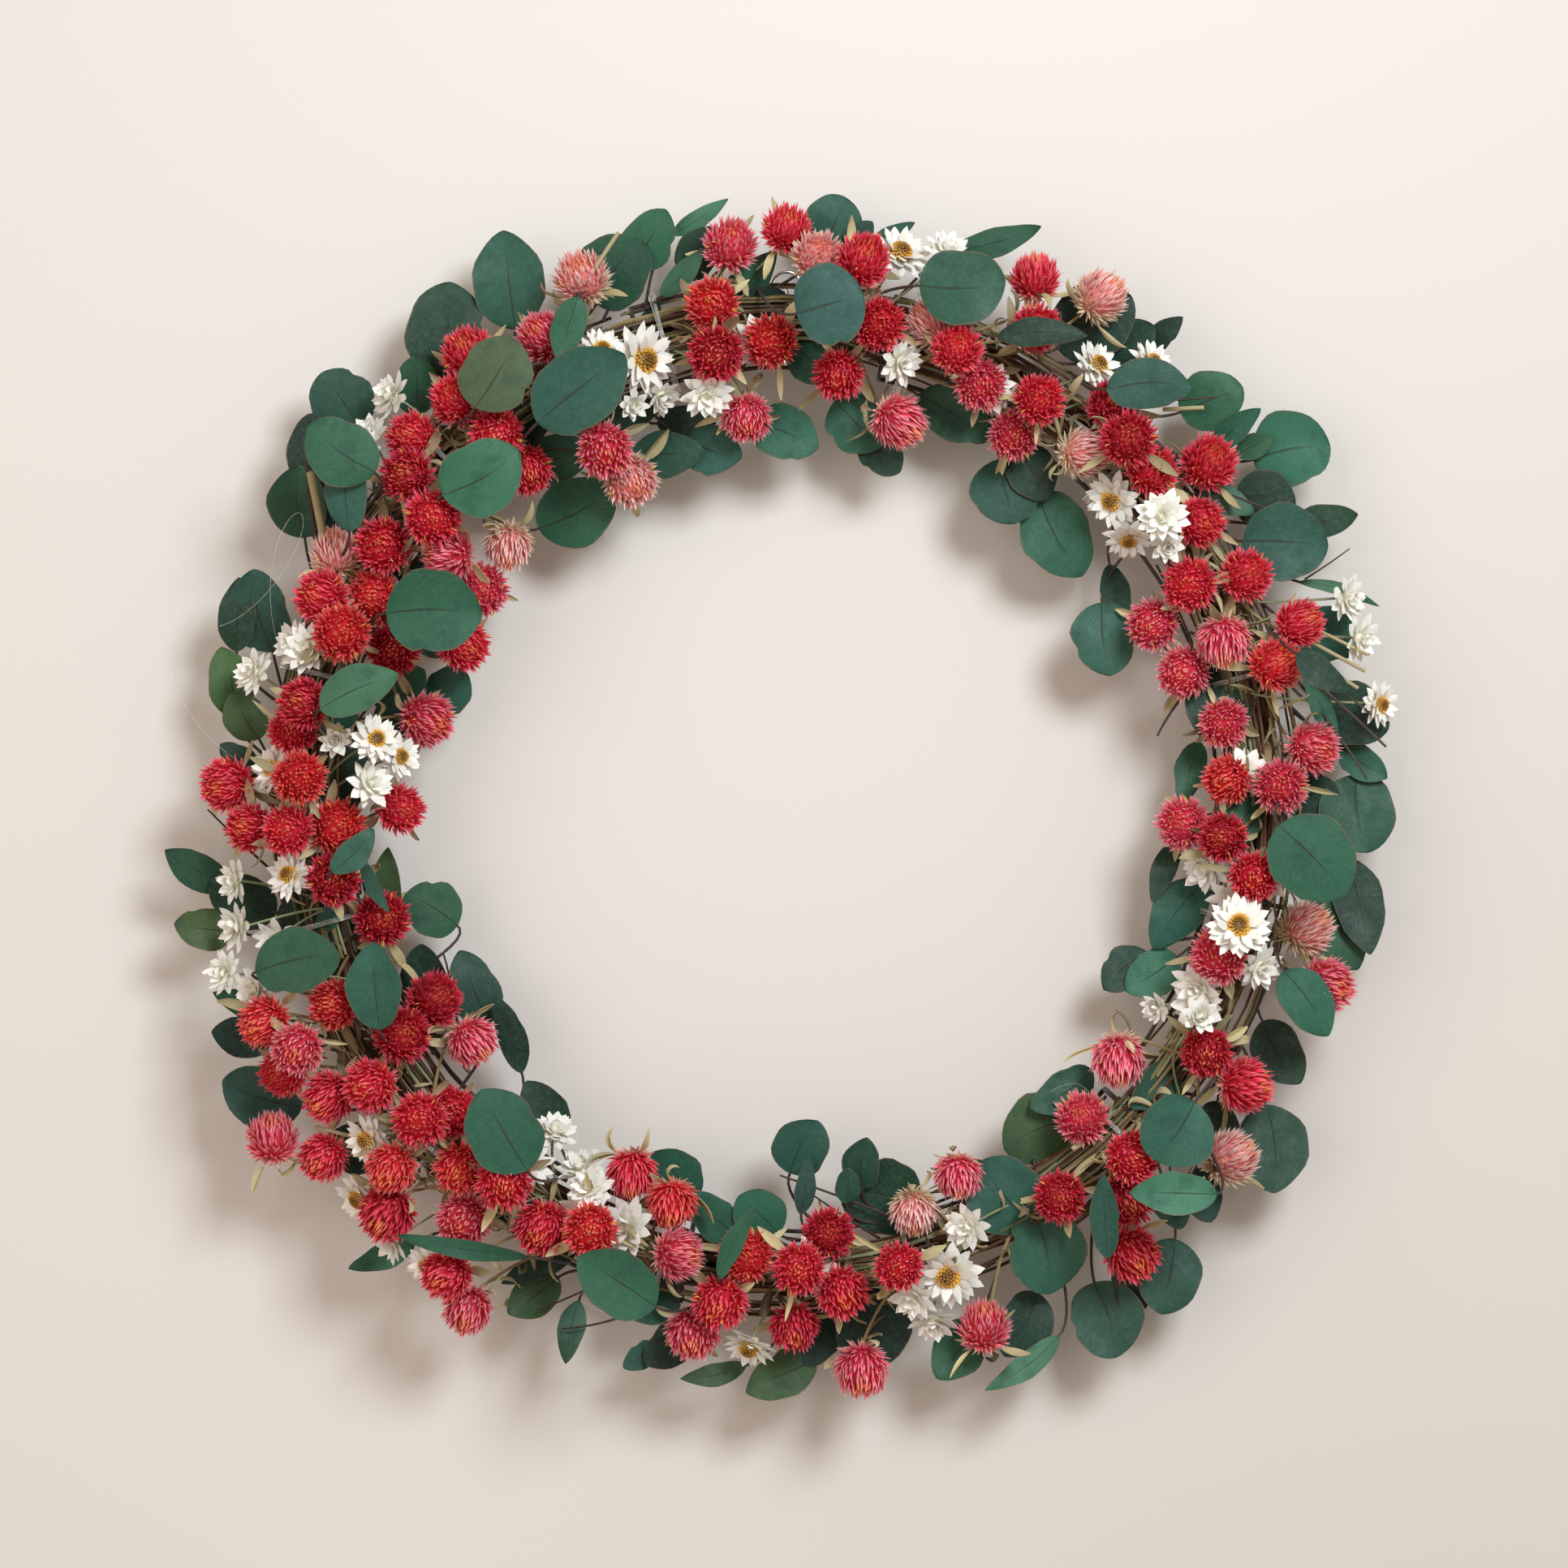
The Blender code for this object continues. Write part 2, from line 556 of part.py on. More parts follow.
def eucalyptus(name, tie_clock, leaves, to_front):
    """A sprig that crosses over the base behind its tie and runs along both sides of it, and its leaves."""
    sprig_rise = to_front * SPRIG_RISE
    tilt = math.degrees(math.asin(sprig_rise / SPRIG_LAY))
    bridge_lay = SPRIG_LAY / math.cos(math.pi / BRIDGE_STEPS / 2)
    bridge = []
    for step in range(BRIDGE_STEPS + 1):
        turn = tilt + (180 - 2 * tilt) * step / BRIDGE_STEPS
        bridge.append(round_base(tie_clock - BRIDGE_TAIL, turn, bridge_lay))
    outer_side = laid(tie_clock, tie_clock + REACH, tilt, SPRIG_LAY)
    inner_side = laid(tie_clock, tie_clock + REACH, 180 - tilt, SPRIG_LAY)
    points = outer_side[::-1] + bridge + inner_side
    space.take(name, points, SPRIG_R)
    stem = bmesh.new()
    bar(stem, points, SPRIG_R, STEM_SIDES)
    shapes = [stem]
    for number, (base, tip, width) in enumerate(leaves):
        fan = LEAF_FANS[number % len(LEAF_FANS)]
        shapes.append(leaf(sprig_rise, tie_clock, base, tip, width, fan))
    return shapes


for old in list(bpy.data.objects):
    bpy.data.objects.remove(old)

bark = material("bark", BROWN, 0.85)
steel = material("steel", STEEL, 0.3, metallic=1.0)
nylon = material("clear_nylon", CLEAR_NYLON, 0.2)
petals = material("amaranth_bracts", RED, 0.8)
paper = material("everlasting_bracts", WHITE, 0.75)
foliage = material("eucalyptus_leaf", GREEN, 0.7)

canes()
tendril()
hanger_eye()
hanging_ring()

Kind = namedtuple("Kind", "key suffix seat stems_r stalk_r head_r head look")
KINDS = (
    Kind("globes", "_globe_amaranth", GLOBE_SEAT, GLOBE_STEMS_R, GLOBE_STALK_R, GLOBE_R, globe, petals),
    Kind("daisies", "_everlasting", DAISY_SEAT, DAISY_STEMS_R, DAISY_STALK_R, DAISY_R, daisy, paper),
)

space = Space()
shapes = {}
looks = {}
flowers = []
for number, bunch in enumerate(BUNCHES):
    title = f"bunch_{number + 1:02d}"
    tie_clock = FIRST_TIE + PITCH * number
    tie(title + "_tie", tie_clock)
    to_front = 1 if number % 2 else -1  # neighbours' leaves lie on opposite sides of the centre line
    shapes[title + "_eucalyptus"] = eucalyptus(title + "_eucalyptus", tie_clock, bunch["leaves"], to_front)
    looks[title + "_eucalyptus"] = foliage
    for kind in KINDS:
        name = title + kind.suffix
        points = laid(tie_clock - TAIL, tie_clock + REACH, kind.seat, STEM_BED + kind.stems_r)
        space.take(name, points, kind.stems_r)
        stems = bmesh.new()
        bar(stems, points, kind.stems_r, STEM_SIDES)
        shapes[name] = [stems]
        looks[name] = kind.look
        for clock, out in bunch[kind.key]:
            flowers.append((abs(out), name, tie_clock, clock, out, kind))

# Flowers far from the base come first, so that their stems lie under the flowers near it
flowers.sort(key=lambda flower: flower[:5], reverse=True)
for _, name, tie_clock, clock, out, kind in flowers:
    points = flower_route(name, tie_clock, kind, clock, out)
    space.take(name, points, kind.stalk_r)
    space.take(name + " heads", points[-1:], kind.head_r)
    start, corner, centre = points
    stalk = bmesh.new()
    across = (corner - start).cross(centre - corner)
    bar(stalk, points, kind.stalk_r, STALK_SIDES, start_turn=STALK_TURN, across=across)
    head = bmesh.new()
    facing = ((centre - corner).normalized() + Vector((0, -1, 0))).normalized()
    kind.head(head, centre, facing)
    shapes[name] += [stalk, head]

for name, pieces in shapes.items():
    grown_together(name, pieces, looks[name])
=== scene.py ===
"""The looks of a door wreath of dried flowers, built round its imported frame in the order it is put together.

A place on the wreath has three measures, in degrees and mm. The clock angle runs clockwise from the top,
seen from the front. Out is the distance outwards from the centre line of the vine base, and rise is the
height over it towards the front, which is -Y. The bunches all point clockwise.
"""

import math

import bmesh
import bpy
import numpy as np
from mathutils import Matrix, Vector


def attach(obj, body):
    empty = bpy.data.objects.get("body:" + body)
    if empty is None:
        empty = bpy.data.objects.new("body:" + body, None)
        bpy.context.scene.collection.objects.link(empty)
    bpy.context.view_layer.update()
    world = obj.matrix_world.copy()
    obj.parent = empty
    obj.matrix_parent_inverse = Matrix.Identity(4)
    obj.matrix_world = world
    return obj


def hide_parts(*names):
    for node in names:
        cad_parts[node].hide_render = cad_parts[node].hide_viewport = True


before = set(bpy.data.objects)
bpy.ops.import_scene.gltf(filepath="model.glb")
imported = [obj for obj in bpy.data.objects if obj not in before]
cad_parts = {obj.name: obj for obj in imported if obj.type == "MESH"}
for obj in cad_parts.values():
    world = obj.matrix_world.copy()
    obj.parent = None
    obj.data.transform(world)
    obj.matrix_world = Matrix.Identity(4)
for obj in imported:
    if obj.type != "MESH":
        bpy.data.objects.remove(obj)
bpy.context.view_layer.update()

# ---- Vine canes ----
# The base is five canes coiled side by side, and each cane is a twist of three thin vine shoots.
# The shoots are bent while green. As they dry, their brown bark ridges lengthways and cracks at the buds.

MM = 0.001
RING_R = 218  # centre line of the base
BASE_Y = -11.4  # the base hangs this far in front of the hook's seat
CENTRE_Z = -243.86
CANES = 5
CANE_TWISTS = 3
CANE_LAY = 7.83  # from the base's centre line to a cane's
SHOOTS = 3
SHOOT_LAY = 2.0
SHOOT_R = 2.15
SHOOT_TWISTS = 11
SHOOT_STATIONS = 300
BUD_EVERY = 34  # stations
CREASE = 70  # edges sharper than this stay sharp
BARK_DARK = (0.050, 0.024, 0.012, 1)
BARK_MID = (0.185, 0.095, 0.048, 1)
BARK_PALE = (0.360, 0.235, 0.130, 1)


def place(clock, out, rise):
    """The points at these clock angles, outs and rises, in metres."""
    turn = np.radians(clock)
    reach = RING_R + np.asarray(out, float)
    depth = BASE_Y - np.asarray(rise, float)
    spots = np.broadcast_arrays(reach * np.sin(turn), depth, CENTRE_Z + reach * np.cos(turn))
    return np.stack(spots, -1) * MM


def round_base(clock, turn, reach):
    """The points at a turn and a reach round the base. A turn of 0 degrees faces out and 90 faces front."""
    turn = np.radians(turn)
    return place(clock, reach * np.cos(turn), reach * np.sin(turn))


def unit(vectors):
    vectors = np.asarray(vectors, float)
    return vectors / np.linalg.norm(vectors, axis=-1, keepdims=True)


def tube(points, radii, sides=6):
    """A stem along the points: its corners, its faces, and each corner's share round and length along."""
    count = len(points)
    radii = np.broadcast_to(radii, count) * MM
    along = unit(np.gradient(points, axis=0))
    turns = 2 * np.pi * np.arange(sides) / sides
    across = np.cross(along[0], (0.31, 0.52, 0.80))
    rings = []
    for number in range(count):
        across = unit(across - along[number] * (across @ along[number]))
        other = np.cross(along[number], across)
        ring = np.outer(np.cos(turns), across) + np.outer(np.sin(turns), other)
        rings.append(points[number] + ring * radii[number])
    lengths = np.append(0, np.cumsum(np.linalg.norm(np.diff(points, axis=0), axis=1))) / MM
    spots = np.zeros((count, sides, 3))
    spots[:, :, 0] = np.arange(sides) / sides
    spots[:, :, 1] = lengths[:, None]
    numbers = np.arange(count * sides).reshape(count, sides)
    lower, following = numbers[:-1], np.roll(numbers[:-1], -1, 1)
    quads = np.stack((lower, following, following + sides, lower + sides), -1).reshape(-1, 4)
    ends = np.stack((numbers[0, ::-1], numbers[-1]))
    return np.concatenate(rings), [quads, ends], spots.reshape(-1, 3)


class Growth:
    """Gathers what one piece is made of: points, faces, and a tint and a spot for each point."""

    def __init__(self):
        self.points, self.faces, self.tints, self.spots = [], [], [], []
        self.count = 0

    def add(self, points, faces, tint, spots=(0.5, 0.5, 0.0)):
        for block in faces:
            self.faces += (block + self.count).tolist()
        self.points.append(points)
        self.tints.append(np.broadcast_to(np.asarray(tint, float)[..., :3], (len(points), 3)))
        self.spots.append(np.broadcast_to(spots, (len(points), 3)))
        self.count += len(points)

    def stem(self, points, radii, tint, sides=6, number=0.0):
        corners, faces, spots = tube(np.asarray(points), radii, sides)
        self.add(corners, faces, tint, spots + (0, 0, number))

    def piece(self, name, finish, nodes, slot, body="wreath"):
        """One object that rides on a body and stands for its nodes."""
        mesh = bpy.data.meshes.new(name)
        mesh.from_pydata(np.concatenate(self.points).tolist(), [], self.faces)
        tints = np.ones((self.count, 4))
        tints[:, :3] = np.concatenate(self.tints)
        mesh.attributes.new("tint", "FLOAT_COLOR", "POINT").data.foreach_set("color", tints.ravel())
        spots = np.concatenate(self.spots)
        mesh.attributes.new("spot", "FLOAT_VECTOR", "POINT").data.foreach_set("vector", spots.ravel())
        mesh.set_sharp_from_angle(angle=math.radians(CREASE))
        mesh.materials.append(finish.material)
        made = bpy.data.objects.new(name, mesh)
        bpy.context.scene.collection.objects.link(made)
        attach(made, body)
        for node in nodes:
            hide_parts(node)
        return made


class Socket:
    """An output in a finish's node tree, on which shader maths reads as arithmetic."""

    def __init__(self, finish, output):
        self.finish, self.output = finish, output

    def maths(self, operation, first, second=0.0):
        return self.finish.node("Math", {"operation": operation}, {0: first, 1: second})

    def __add__(self, other):
        return self.maths("ADD", self, other)

    def __sub__(self, other):
        return self.maths("SUBTRACT", self, other)

    def __rsub__(self, other):
        return self.maths("SUBTRACT", other, self)

    def __mul__(self, other):
        return self.maths("MULTIPLY", self, other)

    def __abs__(self):
        return self.maths("ABSOLUTE", self)


class Finish:
    """A material in the making."""

    def __init__(self, name, sockets):
        self.material = bpy.data.materials.new(name)
        self.material.use_nodes = True
        self.tree = self.material.node_tree
        for socket, value in sockets.items():
            self.feed(socket, value)

    def node(self, kind, settings, values, output=0):
        """Adds a node: its settings, then the values or links of its sockets. Gives one of its outputs."""
        made = self.tree.nodes.new("ShaderNode" + kind)
        for name, value in settings.items():
            setattr(made, name, value)
        for name, value in values.items():
            self.join(made.inputs[name], value)
        return Socket(self, made.outputs[output])

    def join(self, socket, value):
        if isinstance(value, Socket):
            self.tree.links.new(value.output, socket)
        else:
            socket.default_value = value

    def feed(self, name, value):
        self.join(self.tree.nodes["Principled BSDF"].inputs[name], value)

    def mix(self, share, first, second, how="MIX"):
        return self.node("Mix", {"data_type": "RGBA", "blend_type": how}, {0: share, 6: first, 7: second}, 2)

    def mask(self, value, low, high):
        """0 below the low value and 1 over the high one, eased between them."""
        values = {"Value": value, "From Min": low, "From Max": high}
        return self.node("MapRange", {"interpolation_type": "SMOOTHSTEP"}, values)

    def noise(self, vector, scale, detail=3.0, roughness=0.55):
        values = {"Vector": vector, "Scale": scale, "Detail": detail, "Roughness": roughness}
        return self.node("TexNoise", {}, values)

    def stretched(self, vector, stretch):
        return self.node("VectorMath", {"operation": "MULTIPLY"}, {0: vector, 1: stretch})

    def attribute(self, name, output):
        return self.node("Attribute", {"attribute_name": name}, {}, output)

    def axis(self, vector, letter):
        return self.node("SeparateXYZ", {}, {0: vector}, letter)

    def here(self):
        return self.node("TexCoord", {}, {}, "Object")

    def bump(self, height, distance, strength=1.0):
        return self.node("Bump", {}, {"Height": height, "Distance": distance, "Strength": strength})


bark = Finish("bark", {"Roughness": 0.85, "Specular IOR Level": 0.25})
spot = bark.attribute("spot", "Vector")
fibres = bark.noise(bark.stretched(spot, (9.0, 0.10, 5.0)), 1.0, 5.0, 0.65)
patches = bark.noise(bark.here(), 60.0, 3.0)
cracks = bark.mask(bark.noise(bark.stretched(spot, (22.0, 0.22, 5.0)), 1.0, 2.0), 0.42, 0.56)
brown = bark.mix(bark.mask(fibres, 0.36, 0.66), BARK_DARK, BARK_MID)
brown = bark.mix(bark.mask(patches, 0.50, 0.72) * 0.75, brown, BARK_PALE)
bark.feed("Base Color", bark.mix(1.0, brown, bark.attribute("tint", "Color"), "MULTIPLY"))
bark.feed("Normal", bark.bump(fibres * 0.6 + cracks * 0.4, 0.0009, 0.9))

for cane in range(CANES):
    shoots = Growth()
    rng = np.random.default_rng(cane + 1)
    clocks = 360 * (np.arange(SHOOT_STATIONS) / SHOOT_STATIONS + cane / CANES) + 0.5
    cane_turn = np.radians(360 * cane / CANES + CANE_TWISTS * clocks)
    for shoot in range(SHOOTS):
        shoot_turn = np.radians(360 * shoot / SHOOTS + SHOOT_TWISTS * clocks)
        sway = 0.35 * np.sin(np.radians(clocks) * rng.uniform(7, 13) + rng.uniform(0, 6))
        outs = CANE_LAY * np.cos(cane_turn) + (SHOOT_LAY + sway) * np.cos(shoot_turn)
        rises = CANE_LAY * np.sin(cane_turn) + (SHOOT_LAY + sway) * np.sin(shoot_turn)
        stations = np.arange(SHOOT_STATIONS) + rng.integers(BUD_EVERY)
        buds = np.exp(-((((stations + BUD_EVERY / 2) % BUD_EVERY) - BUD_EVERY / 2) ** 2) / 1.2)
        radii = SHOOT_R * (rng.uniform(0.82, 1.0) + 0.06 * np.sin(stations * 0.9) + 0.22 * buds)
        shade = np.full(3, rng.uniform(0.75, 1.25))
        shoots.stem(place(clocks, outs, rises), radii, shade, 8, cane * SHOOTS + shoot)
    shoots.piece(f"vine_cane_{cane + 1}_shoots", bark, [f"vine_cane_{cane + 1}"], "vine_bark")

# ---- Vine tendril ----
# One long, thin tendril is wound round all the canes and holds them together.
# It is the vine's own climbing shoot, and wisps of its side shoots are left on it.

TENDRIL_R = 1.3
TENDRIL_LAY = 14.2
TENDRIL_TURNS = 9
TENDRIL_FROM = 15
WISPS = 26
WISP_REACH = (15.5, 18.5)

tendril = Growth()
shares = np.linspace(0, 1, 420)
clocks = TENDRIL_FROM + 359 * shares
turns = 360 * TENDRIL_TURNS * shares
radii = TENDRIL_R * (1 + 0.10 * np.sin(shares * 170))
tendril.stem(round_base(clocks, turns, TENDRIL_LAY), radii, (1.1, 1.0, 0.9), number=40)
rng = np.random.default_rng(21)
for wisp in range(WISPS):
    start = 360 * wisp / WISPS + rng.uniform(-5, 5)
    length = rng.uniform(14, 40)
    shares = np.linspace(0, 1, 28)
    turns = rng.uniform(0, 360) + rng.uniform(-120, 120) * shares
    reach = rng.uniform(*WISP_REACH) + 1.2 * np.sin(shares * rng.uniform(4, 9))
    shade = np.full(3, rng.uniform(0.7, 1.7))
    path = round_base(start + length * shares, turns, reach)
    tendril.stem(path, rng.uniform(0.45, 1.0), shade, 5, 50 + wisp)
tendril.piece("vine_tendril_shoots", bark, ["vine_tendril"], "vine_bark")

# ---- Hanger eye ----
# A loop of steel wire goes round the whole base at the top and carries the hanging ring.
# It is drawn tight with pliers, and a pocket is left in it, in which the ring turns.

EYE_LAY = 16.95
EYE_WIRE_R = 0.7
POCKET_TURN = -42
POCKET_HALF = 18
POCKET_DEPTH = 2.05
BRIGHT_STEEL = (0.68, 0.68, 0.69, 1)
DULL_STEEL = (0.40, 0.39, 0.38, 1)

steel = Finish("steel", {"Metallic": 1.0})
scuffs = steel.noise(steel.stretched(steel.here(), (1.0, 1.0, 6.0)), 900.0, 4.0)
steel.feed("Roughness", steel.mask(scuffs, 0.2, 0.8) * 0.22 + 0.10)
steel.feed("Base Color", steel.mix(steel.mask(scuffs, 0.45, 0.8) * 0.5, BRIGHT_STEEL, DULL_STEEL))
steel.feed("Normal", steel.bump(scuffs, 0.00006, 0.5))
eye = Growth()
turns = np.linspace(POCKET_TURN - 180, POCKET_TURN + 180, 121)
from_pocket = np.clip(np.abs(turns - POCKET_TURN) / POCKET_HALF, 0, 1)
reach = EYE_LAY + POCKET_DEPTH * np.cos(from_pocket * np.pi / 2) ** 2
eye.stem(round_base(0.25 * np.sin(np.radians(turns)), turns, reach), EYE_WIRE_R, (1, 1, 1), 10)
eye.piece("hanger_eye_wire", steel, ["hanger_eye"], "steel_wire")

# ---- Hanging ring ----
# A polished split ring of flat steel wire, two turns pressed against each other, goes over the hook.
# It is threaded through the wire eye at the top of the base and swings in it.

HANGING_R = 7.0
FLAT_HALF = 0.78  # of the wire, across the ring's plane
EDGE_HALF = 0.40  # along the ring's axis
RING_TURNS = 1.93
RING_STATIONS = 150
RING_SIDES = 12

ring = Growth()
angles = np.linspace(0, 2 * np.pi * RING_TURNS, RING_STATIONS) + 0.6
step_over = np.interp(angles - angles[0], (0, 5.4, 6.9, 12.2), (-EDGE_HALF, -EDGE_HALF, EDGE_HALF, EDGE_HALF))
corners = 2 * np.pi * np.arange(RING_SIDES) / RING_SIDES
reach = HANGING_R + FLAT_HALF * np.cos(corners)[None, :]
ring_points = np.stack(
    (
        reach * np.sin(angles)[:, None],
        step_over[:, None] + EDGE_HALF * np.sin(corners)[None, :],
        reach * np.cos(angles)[:, None] - HANGING_R + FLAT_HALF,
    ),
    -1,
)
_, ring_faces, ring_spots = tube(ring_points[:, 0], 1.0, RING_SIDES)
ring.add(ring_points.reshape(-1, 3) * MM, ring_faces, (1, 1, 1), ring_spots)
ring.piece("hanging_ring_split", steel, ["hanging_ring"], "polished_steel", body="ring")

# ---- Seats of the flowers ----
# The frame's flower heads say where each flower sits. A globe amaranth head there is a ball of twenty equal
# triangles, and an everlasting head is a six-sided cup that opens towards its front.

BUNCHES = 12
FIRST_TIE = 15
PITCH = 30
GLOBE_R = 11.6
GLOBE_FACE = math.sqrt(3) / 4 * (1.05146 * GLOBE_R) ** 2  # area of one of its triangles
GLOBE_INSIDE = 0.79465 * GLOBE_R  # from its centre to the middle of a triangle
CUP_R = 9.0
CUP_FACE = 1.5 * math.sqrt(3) * CUP_R**2
CUP_HALF_DEPTH = 4.0


def flat_faces(node):
    """The middle, the way it faces and the area in mm2 of each flat face of a node."""
    work = bmesh.new()
    work.from_mesh(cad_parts[node].data)
    bmesh.ops.remove_doubles(work, verts=work.verts, dist=0.002 * MM)
    bmesh.ops.dissolve_limit(work, angle_limit=math.radians(0.5), verts=work.verts, edges=work.edges)
    found = []
    for face in work.faces:
        found.append((np.array(face.calc_center_median()), np.array(face.normal), face.calc_area() / MM**2))
    work.free()
    return found


def seats(node, area, inside):
    """Where each head of a node has its centre, and the way it faces."""
    found = []
    for middle, facing, size in flat_faces(node):
        if abs(size - area) > 0.02 * area:
            continue
        centre = middle - facing * inside * MM
        if all(np.linalg.norm(centre - other) > 5 * MM for other, _ in found):
            found.append((centre, facing))
    return found


def clock_of(point):
    """The clock angle and out of a point."""
    across, up = point[0] / MM, point[2] / MM - CENTRE_Z
    return math.degrees(math.atan2(across, up)) % 360, math.hypot(across, up) - RING_R


def nearest(table, centre, within):
    """The entry of a table of clock angles and outs that lies nearest to a centre, seen from the front."""
    best, least = None, within * MM
    for entry in table:
        apart = place(entry[0], entry[1], 0) - centre
        distance = math.hypot(apart[0], apart[2])
        if distance < least:
            best, least = entry, distance
    return best


def bunch_at(clock):
    """The number of the bunch, from 0, whose flowers and leaves have this clock angle."""
    return int((clock - FIRST_TIE + 2) % 360 // PITCH)


def bunches(seed):
    """Each bunch's number, title and tie's clock angle, with its own random numbers."""
    for number, title in enumerate(titles):
        yield number, title, FIRST_TIE + PITCH * number, np.random.default_rng(seed + number)


titles = [f"bunch_{number + 1:02d}" for number in range(BUNCHES)]
globe_seats = {title: seats(title + "_globe_amaranth", GLOBE_FACE, GLOBE_INSIDE) for title in titles}
cup_seats = {title: seats(title + "_everlasting", CUP_FACE, CUP_HALF_DEPTH) for title in titles}

# ---- Eucalyptus ----
# Sprigs of round-leaved eucalyptus, dried until their leaves are stiff, teal green and waxy, with a dark
# midrib and a pale reddish rim. Two runs of each sprig lie along the base, and the leaves fan out from them.

SPRIG_LAY = 19.3
SPRIG_R = 1.25
LEAF_ROWS = 15
LEAF_COLUMNS = 11
LEAF_THICK = 0.45
PETIOLE_R = 0.65
LEAF_RISES = {"behind": (3.0, 9.0), "between": (14.0, 19.0)}
LEAF_OVER_HEADS = 5.0
LEAF_HIGHEST = 68.0
LEAF_TINTS = {
    "teal": (0.017, 0.088, 0.055),
    "light": (0.042, 0.140, 0.084),
    "olive": (0.045, 0.085, 0.028),
    "dark": (0.006, 0.030, 0.017),
}
TWIG_TINT = (0.060, 0.028, 0.024)
